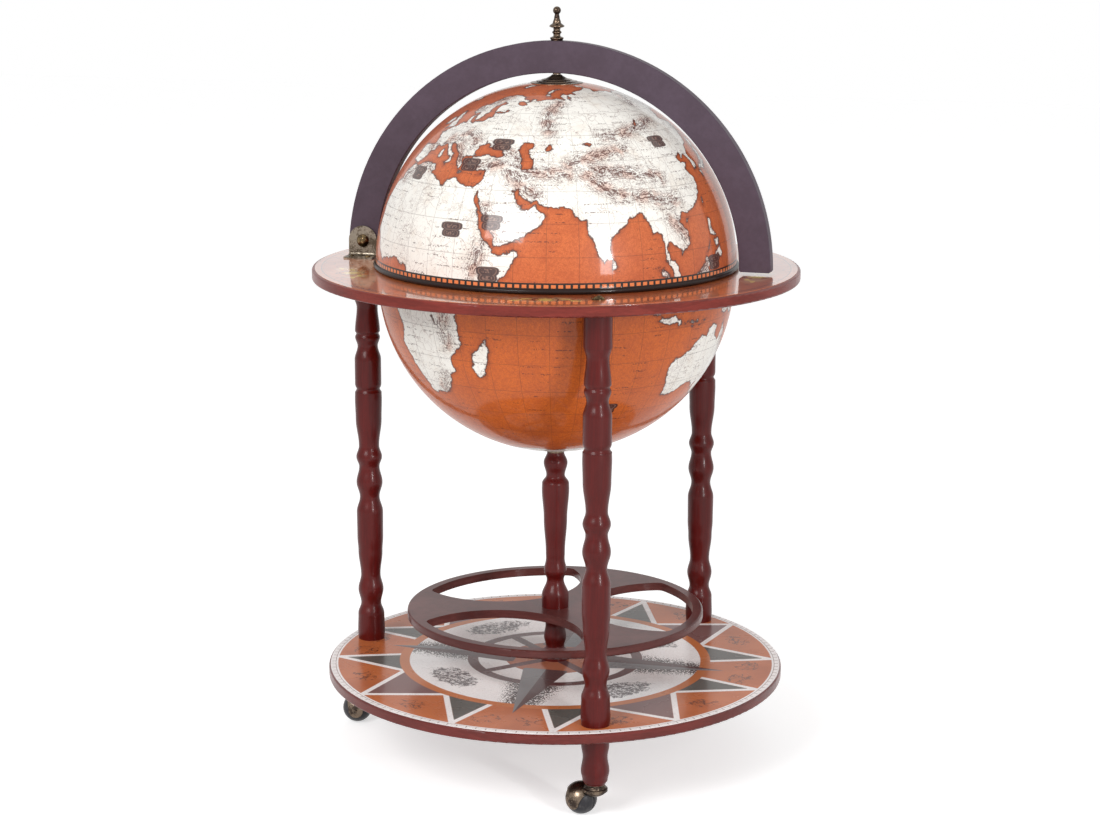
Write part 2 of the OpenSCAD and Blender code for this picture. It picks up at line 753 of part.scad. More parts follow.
// The socket: a ferrule under the foot and a sleeve up its middle
module caster_cup(i) {
    color([0.3, 0.26, 0.2]) at_caster(i) difference() {
        union() {
            translate([0, 0, cup_z]) board(11.3, cup_t, 0.8);
            translate([0, 0, foot_z]) cylinder(d = sleeve_d, h = sleeve_h);
        }
        translate([0, 0, cup_z - 1]) cylinder(d = stem_d + 2 * run, h = cup_t + sleeve_h - 0.6);
    }
}

// The hood seen along the axle: a helmet over the ball with a round tongue at
// each end of the axle; +X is the trailing side
module hood_outline() {
    tongue_r = wheel_r * 0.49;
    brow = wheel_r * 0.7;
    circle(tongue_r);
    polygon([
        [-tongue_r, 0], [tongue_r, 0], [wheel_r * 0.6, brow * 0.88], [1.2 * hood_r, brow],
        [1.2 * hood_r, 1.2 * hood_r], [-1.2 * hood_r, 1.2 * hood_r], [-1.2 * hood_r, brow],
        [-wheel_r * 0.8, brow]
    ]);
}

module caster_hood(i) {
    collar_z = cup_z - body_gap - collar_len;
    color([0.4, 0.33, 0.25]) at_caster(i) difference() {
        union() {
            translate([0, 0, collar_z]) turned(collar_outline, collar_len, 3, collar_d / 28.8);
            translate([0, 0, collar_z]) cylinder(d = stem_d, h = collar_len + body_gap + cup_t + stem_h);
            intersection() {
                translate([trail, 0, wheel_r]) sphere(hood_r);
                translate([trail, 0, wheel_r]) rotate([90, 0, 0])
                    linear_extrude(2 * hood_r + 2, center = true) hood_outline();
            }
        }
        translate([trail, 0, wheel_r]) sphere(wheel_r + hood_gap);
        translate([trail, 0, wheel_r]) rotate([90, 0, 0])
            cylinder(d = axle_d + 2 * fit, h = 2 * hood_r + 2, center = true);
    }
}

module caster_axle(i) {
    head_t = 0.9;
    color([0.5, 0.43, 0.32]) at_caster(i) translate([trail, 0, wheel_r]) rotate([90, 0, 0]) {
        cylinder(d = axle_d, h = 2 * hood_r + 1, center = true);
        for (s = [0, 1]) mirror([0, 0, s]) translate([0, 0, hood_r]) cylinder(r1 = axle_d * 0.9, r2 = axle_d * 0.6, h = head_t);
    }
}

// Two half balls side by side with a groove between them
module caster_wheel(i) {
    groove_w = 1.4;
    groove_depth = 1.6;
    color([0.22, 0.21, 0.22]) at_caster(i) translate([trail, 0, wheel_r]) rotate([90, 0, 0]) difference() {
        sphere(wheel_r);
        cylinder(d = axle_d + 2 * run, h = 2 * wheel_r + 2, center = true);
        difference() {
            cylinder(r = wheel_r + 2, h = groove_w, center = true);
            cylinder(r = wheel_r - groove_depth, h = groove_w + 2, center = true);
        }
    }
}

module caster_cup_1() { caster_cup(0); }
module caster_cup_2() { caster_cup(1); }
module caster_cup_3() { caster_cup(2); }
module caster_hood_1() { caster_hood(0); }
module caster_hood_2() { caster_hood(1); }
module caster_hood_3() { caster_hood(2); }
module caster_axle_1() { caster_axle(0); }
module caster_axle_2() { caster_axle(1); }
module caster_axle_3() { caster_axle(2); }
module caster_wheel_1() { caster_wheel(0); }
module caster_wheel_2() { caster_wheel(1); }
module caster_wheel_3() { caster_wheel(2); }

table_ring();
table_print();
lower_bowl();
bowl_hoop();
hoop_screws();
bar_tray();
glass_floor();
tray_spacers();
bracket_front();
bracket_back();
bracket_screws();
hinge_bolt();
hinge_nut();
leg_1();
leg_2();
leg_3();
leg_bolts();
bolt_caps();
foot_studs();
post_upper();
post_lower();
post_washer();
post_rod();
post_nuts();
bottle_ring();
shelf();
shelf_print();
foot_1();
foot_2();
foot_3();
caster_cup_1();
caster_cup_2();
caster_cup_3();
meridian_arch();
finial();
lid_rod();
spacer_collar();
rod_nut();
dome();
dome_rim();
pole_cap();
pole_pad();
caster_hood_1();
caster_hood_2();
caster_hood_3();
caster_axle_1();
caster_axle_2();
caster_axle_3();
caster_wheel_1();
caster_wheel_2();
caster_wheel_3();
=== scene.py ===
import math
from functools import partialmethod, reduce
import bmesh
import bpy
import numpy as np
from mathutils import Matrix, Vector


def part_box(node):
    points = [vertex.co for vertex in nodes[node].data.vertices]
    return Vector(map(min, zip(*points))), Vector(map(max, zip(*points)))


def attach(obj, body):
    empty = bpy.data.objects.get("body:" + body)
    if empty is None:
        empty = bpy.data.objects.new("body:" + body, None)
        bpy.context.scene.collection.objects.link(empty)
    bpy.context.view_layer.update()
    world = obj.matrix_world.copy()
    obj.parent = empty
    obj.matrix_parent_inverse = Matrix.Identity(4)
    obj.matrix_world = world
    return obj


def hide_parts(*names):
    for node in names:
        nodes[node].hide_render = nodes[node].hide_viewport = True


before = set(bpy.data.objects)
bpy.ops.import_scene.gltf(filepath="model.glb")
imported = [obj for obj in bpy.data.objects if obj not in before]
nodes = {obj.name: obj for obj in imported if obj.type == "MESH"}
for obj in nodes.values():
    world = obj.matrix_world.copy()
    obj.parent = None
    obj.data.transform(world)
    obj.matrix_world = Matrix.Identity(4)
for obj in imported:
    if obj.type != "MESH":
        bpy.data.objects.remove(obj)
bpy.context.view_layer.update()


# ---- Table ring -----------------------------------------------------------
# A round board of stained mahogany with a hole in the middle, its edges
# rounded on a router and the whole sprayed with satin lacquer. The lower
# hemisphere is screwed under it and the lid closes on it.
class Wire:
    """A shader node's output, to write sums with: each sign adds a Math node
    to the output's tree."""

    def __init__(self, socket):
        self.socket = socket
        self.tree = socket.id_data

    def calc(self, operation, *others):
        """One step of arithmetic that starts from this wire."""
        return add(self.tree, "Math", self, *others, operation=operation)

    __add__ = partialmethod(calc, "ADD")
    __sub__ = partialmethod(calc, "SUBTRACT")
    __mul__ = partialmethod(calc, "MULTIPLY")
    __truediv__ = partialmethod(calc, "DIVIDE")
    __abs__ = partialmethod(calc, "ABSOLUTE")


def join(socket, value):
    """Links a wire to a socket, sets it to a plain value, or leaves it alone
    where the value is None."""
    if isinstance(value, Wire):
        socket.id_data.links.new(value.socket, socket)
    elif value is not None:
        socket.default_value = value


def fill(inputs, **values):
    """Joins a node's inputs by name, with _ for a space."""
    for label, value in values.items():
        join(inputs[label.replace("_", " ")], value)


def add(tree, kind, *inputs, out=0, **settings):
    """Adds a node, fills its sockets in order, and returns its output."""
    made = tree.nodes.new("ShaderNode" + kind)
    for key, value in settings.items():
        setattr(made, key, value)
    for socket, value in zip(made.inputs, inputs):
        join(socket, value)
    return Wire(made.outputs[out])


def paint(amount, under, over):
    """Colour over laid on colour under where amount is 1."""
    made = amount.tree.nodes.new("ShaderNodeMix")
    made.data_type = "RGBA"
    for place, value in ((0, amount), (6, under), (7, over)):
        join(made.inputs[place], value)
    return Wire(made.outputs[2])


def fade(value, low, high, a=0.0, b=1.0):
    """Goes from a to b, smoothly, as value goes from low to high."""
    return add(value.tree, "MapRange", value, low, high, a, b, interpolation_type="SMOOTHSTEP", clamp=True)


def noise(where, scale, detail=2.0, rough=0.5, distort=0.0):
    """Fractal noise from 0 to 1 at a place."""
    made = where.tree.nodes.new("ShaderNodeTexNoise")
    fill(made.inputs, Vector=where, Scale=scale, Detail=detail, Roughness=rough, Distortion=distort)
    return Wire(made.outputs["Fac"])


def stretched(where, factors):
    """A place with its three coordinates multiplied."""
    return add(where.tree, "VectorMath", where, factors, operation="MULTIPLY")


def group(name, inputs):
    """A shader group with named inputs, {name: default}. A default of four
    numbers is a colour, of three a vector, and one number is a value. Returns
    the tree, the wires of the inputs, and the place on the object."""
    tree = bpy.data.node_groups.new(name, "ShaderNodeTree")
    kinds = {4: "NodeSocketColor", 3: "NodeSocketVector"}
    for label, value in inputs.items():
        kind = kinds[len(value)] if isinstance(value, tuple) else "NodeSocketFloat"
        tree.interface.new_socket(label, in_out="INPUT", socket_type=kind).default_value = value
    for label in ("Color", "Roughness", "Height"):
        kind = "NodeSocketColor" if label == "Color" else "NodeSocketFloat"
        tree.interface.new_socket(label, in_out="OUTPUT", socket_type=kind)
    wires = {s.name: Wire(s) for s in tree.nodes.new("NodeGroupInput").outputs if s.name in inputs}
    return tree, wires, add(tree, "TexCoord", out=3)


def give(tree, colour, roughness, height):
    """Ends a group with the three things that it puts out."""
    fill(tree.nodes.new("NodeGroupOutput").inputs, Color=colour, Roughness=roughness, Height=height)


def finish(name, tree, values, bump=0.0003, **shader):
    """A material with a group's colour, roughness and bump at its own values.
    A value that is a word is read from the mesh's attribute of that name.
    The rest is set on the shader itself."""
    made = bpy.data.materials.new(name)
    made.use_nodes = True
    own = made.node_tree
    look = own.nodes.new("ShaderNodeGroup")
    look.node_tree = tree
    for key, value in values.items():
        is_word = isinstance(value, str)
        join(look.inputs[key], add(own, "Attribute", attribute_name=value, out=2) if is_word else value)
    colour, roughness, height = map(Wire, look.outputs)
    raised = own.nodes.new("ShaderNodeBump")
    fill(raised.inputs, Strength=0.6, Distance=bump, Height=height)
    fill(own.nodes["Principled BSDF"].inputs, Base_Color=colour, Roughness=roughness,
         Normal=Wire(raised.outputs["Normal"]), **shader)
    return made


def dress(material, *names):
    """Puts one material on every face of these nodes."""
    for name in names:
        mesh = nodes[name].data
        mesh.materials.clear()
        mesh.materials.append(material)
        mesh.polygons.foreach_set("material_index", np.zeros(len(mesh.polygons), dtype=np.int32))


# Stained wood: streaks and long pores along the grain, a slow change of tone
# across it, and a lacquer that is a little uneven. Stretch is how fine the
# figure is along each axis.
stained, wood, where = group("stained_wood", {
    "Light": (0.3, 0.1, 0.07, 1), "Dark": (0.1, 0.03, 0.025, 1), "Stretch": (1.0, 1.0, 1.0),
    "Gloss": 0.3, "Figure": 0.7, "Pores": 0.4})
along = stretched(where, wood["Stretch"])
tone = noise(along, 9.0, 3.0, 0.55, 0.4)
streak = noise(along, 60.0, 5.0, 0.65, 0.3)
pore = fade(noise(along, 260.0), 0.6, 0.72)
figure = fade(streak * 0.45 + tone * 0.55, 0.34, 0.64) * wood["Figure"]
colour = paint(figure, wood["Light"], wood["Dark"])
colour = paint(pore * wood["Pores"], colour, wood["Dark"])
give(stained, colour, tone * 0.12 + wood["Gloss"], streak * 0.4 - pore * 0.6)


def board(name, light, dark, stretch, gloss, bump=0.0001, coat=(0.0, 0.03), gleam=0.5, figure=0.7, pores=0.4):
    """Wood with its own stain. coat is the lacquer's weight and roughness,
    and gleam is how strongly the wood under it shines."""
    return finish(
        name, stained,
        {"Light": (*light, 1), "Dark": (*dark, 1), "Stretch": stretch, "Gloss": gloss, "Figure": figure,
         "Pores": pores},
        bump=bump, Coat_Weight=coat[0], Coat_Roughness=coat[1], Specular_IOR_Level=gleam)


mahogany = board("mahogany_board", (0.22, 0.035, 0.026), (0.1, 0.016, 0.013), (2, 2, 14), 0.24,
                 coat=(0.2, 0.1), gleam=0.06)
dress(mahogany, "table_ring")


# ---- Table print ----------------------------------------------------------
# A printed sheet under clear lacquer, glued to the top of the ring: old
# orange-brown paper with a ruled border, and five gold and brown rosettes
# between sprigs, a fifth of a turn apart.
def surface(name, points, body, *materials, loop=True, fields=None, sharp=40):
    """A smooth mesh through a grid of points, rows by columns by xyz. The
    last column joins the first, and with loop the last row does too. Points
    that meet, as at a pole, are merged, and the faces look outwards. fields
    are float attributes, one number for each point."""
    rows, columns = points.shape[:2]
    number = np.arange(rows * columns).reshape(rows, columns)
    number = np.hstack([number, number[:, :1]])
    if loop:
        number = np.vstack([number, number[:1]])
    corners = [number[:-1, :-1], number[:-1, 1:], number[1:, 1:], number[1:, :-1]]
    quads = np.stack(corners, -1).reshape(-1, 4)
    mesh = bpy.data.meshes.new(name)
    mesh.vertices.add(rows * columns)
    mesh.vertices.foreach_set("co", np.ascontiguousarray(points, dtype=np.float32).ravel())
    mesh.loops.add(quads.size)
    mesh.loops.foreach_set("vertex_index", quads.ravel().astype(np.int32))
    mesh.polygons.add(len(quads))
    mesh.polygons.foreach_set("loop_start", np.arange(0, quads.size, 4, dtype=np.int32))
    mesh.update(calc_edges=True)
    for label, values in (fields or {}).items():
        numbers = mesh.attributes.new(label, "FLOAT", "POINT").data
        numbers.foreach_set("value", values.ravel().astype(np.float32))
    touching = 1e-6
    work = bmesh.new()
    work.from_mesh(mesh)
    bmesh.ops.remove_doubles(work, verts=work.verts, dist=touching)
    bmesh.ops.dissolve_degenerate(work, edges=work.edges, dist=touching)
    bmesh.ops.recalc_face_normals(work, faces=work.faces)
    work.to_mesh(mesh)
    work.free()
    mesh.polygons.foreach_set("use_smooth", np.ones(len(mesh.polygons), dtype=bool))
    mesh.set_sharp_from_angle(angle=math.radians(sharp))
    piece = bpy.data.objects.new(name, mesh)
    bpy.context.scene.collection.objects.link(piece)
    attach(piece, body)
    for material in materials:
        mesh.materials.append(material)
    return piece


def turns(columns):
    """Equal angles round a whole turn."""
    return np.linspace(0, 2 * np.pi, columns, endpoint=False)


def revolve(radii, heights, columns, place=(0, 0)):
    """A profile carried round an upright axis at a place: x = r cos a and
    y = r sin a from there, z = height."""
    a, r = turns(columns), radii[:, None]
    return np.stack([place[0] + r * np.cos(a), place[1] + r * np.sin(a), heights[:, None] + 0 * a], -1)


def polar_sheet(name, hole, edge, rows, top, material, fields):
    """A thin round sheet: rows of points from its hole to its edge, revolved,
    and one plain strip a sheet's thickness lower to close it. Its fields are
    worked out by a function of (r in mm, a in degrees)."""
    thickness, sectors = 0.0006, 1440
    radii = np.linspace(hole, edge, rows)
    radii = np.concatenate([radii, radii[[-1, 0]]])
    heights = np.concatenate([np.full(rows, top), [top - thickness] * 2])
    r, a = np.meshgrid(radii * 1000, np.degrees(turns(sectors)), indexing="ij")
    piece = surface(name, revolve(radii, heights, sectors), "stand", material, fields=fields(r, a))
    return piece


def capsule(u, v, half, radius):
    """Inside a bar with round ends of half length and radius, laid along u:
    radius minus the distance to its middle line."""
    return radius - np.hypot(np.maximum(np.abs(u) - half, 0), v)


def table_fields(r, a):
    """Distances in mm, positive inside, to the brown lines, the gold and the
    pale patches. Five fields of 72 degrees repeat, u across and v out."""
    rosette_circle = 243
    fold = np.radians((a + 112) % 72 - 36)
    u, v = r * np.sin(fold), r * np.cos(fold) - rosette_circle
    rosette = 9 + 2.2 * np.cos(8 * np.arctan2(v, u)) - np.hypot(u, v)
    ring = 1.0 - np.abs(np.hypot(u, v) - 14)
    side = np.abs(u) - 27
    sprig = capsule(side, v - 6 * np.sin(side / 6), 11, 1.8)
    leaves = np.maximum(capsule(side - 5, v - 5, 2.2, 2.8), capsule(side + 5, v + 5, 2.2, 2.8))
    border = np.maximum(0.9 - np.abs(r - 204), 0.9 - np.abs(r - 274))
    rule = np.maximum(border, 0.5 - np.abs(r - 207.5))
    tick = 0.55 - np.abs(r * np.sin(np.radians((a + 1.25) % 2.5 - 1.25)))
    tick = np.minimum.reduce([tick, r - 269.5, 274 - r])
    return {
        "brown": np.maximum.reduce([rule, tick, ring, 0.8 - np.abs(rosette - 2.2)]),
        "gold": np.maximum.reduce([rosette, sprig, leaves]),
        "pale": 20 * (1 - np.hypot(u / 44, v / 17))}


def greatest(*wires):
    """The greatest of some wires."""
    return reduce(lambda one, other: one.calc("MAXIMUM", other), wires)


def thread(value, half):
    """1 where a noise passes its middle value: a thin winding line."""
    return fade(abs(value - 0.5), 0.0, half, 1.0, 0.0)


# Old printed paper: the ground mottled and foxed, finely flecked, with faint
# winding pen lines, and the inks a little uneven.
sheet, inks, where = group("printed_sheet", {
    "Ground": (0.62, 0.17, 0.05, 1), "Shade": (0.44, 0.095, 0.03, 1), "Brown": -9.0, "Gold": -9.0,
    "Pale": -9.0, "Gold ink": (0.95, 0.68, 0.18, 1), "Pale ink": (0.72, 0.45, 0.25, 1),
    "Brown ink": (0.1, 0.03, 0.02, 1)})
cloud = noise(where, 11.0, 4.0, 0.6)
grain = noise(where, 420.0)
wear = noise(where, 55.0, 4.0, 0.6)
ground = paint(fade(cloud, 0.35, 0.7), inks["Ground"], inks["Shade"])
fine_pen = thread(noise(where, 44.0, 3.0, 0.6), 0.035) * fade(wear, 0.52, 0.58)
pen = greatest(thread(noise(where, 9.0, 5.0, 0.6), 0.008), fine_pen)
ground = paint(pen * 0.7, ground, inks["Brown ink"])
pale = fade(inks["Pale"], -5.0, 5.0) * fade(wear, 0.42, 0.62)
colour = paint(pale * 0.7, ground, inks["Pale ink"])
gold = fade(inks["Gold"], -0.3, 0.4) * fade(wear, 0.26, 0.4)
colour = paint(gold, colour, inks["Gold ink"])
brown = fade(inks["Brown"], -0.25, 0.25) * fade(wear, 0.25, 0.4)
colour = paint(brown * 0.85, colour, inks["Brown ink"])
colour = paint(fade(grain, 0.5, 0.8) * 0.3, colour, inks["Shade"])
give(sheet, colour, cloud * 0.15 + 0.22, gold * 0.5 + grain)

table_paper = finish("table_paper", sheet, {"Brown": "brown", "Gold": "gold", "Pale": "pale"},
                     bump=0.00005, Coat_Weight=1.0, Coat_Roughness=0.06, Coat_IOR=1.7)
table_hole = 0.197
edge, _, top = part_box("table_print")[1]
table_sheet = polar_sheet("table_sheet", table_hole, edge, 44, top, table_paper, table_fields)
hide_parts("table_print")


# ---- Lower hemisphere -----------------------------------------------------
# Half a hollow ball of moulded board, its edge against the underside of the
# ring, covered outside with the southern half of an old-style printed map
# and lined inside with plain brown card.

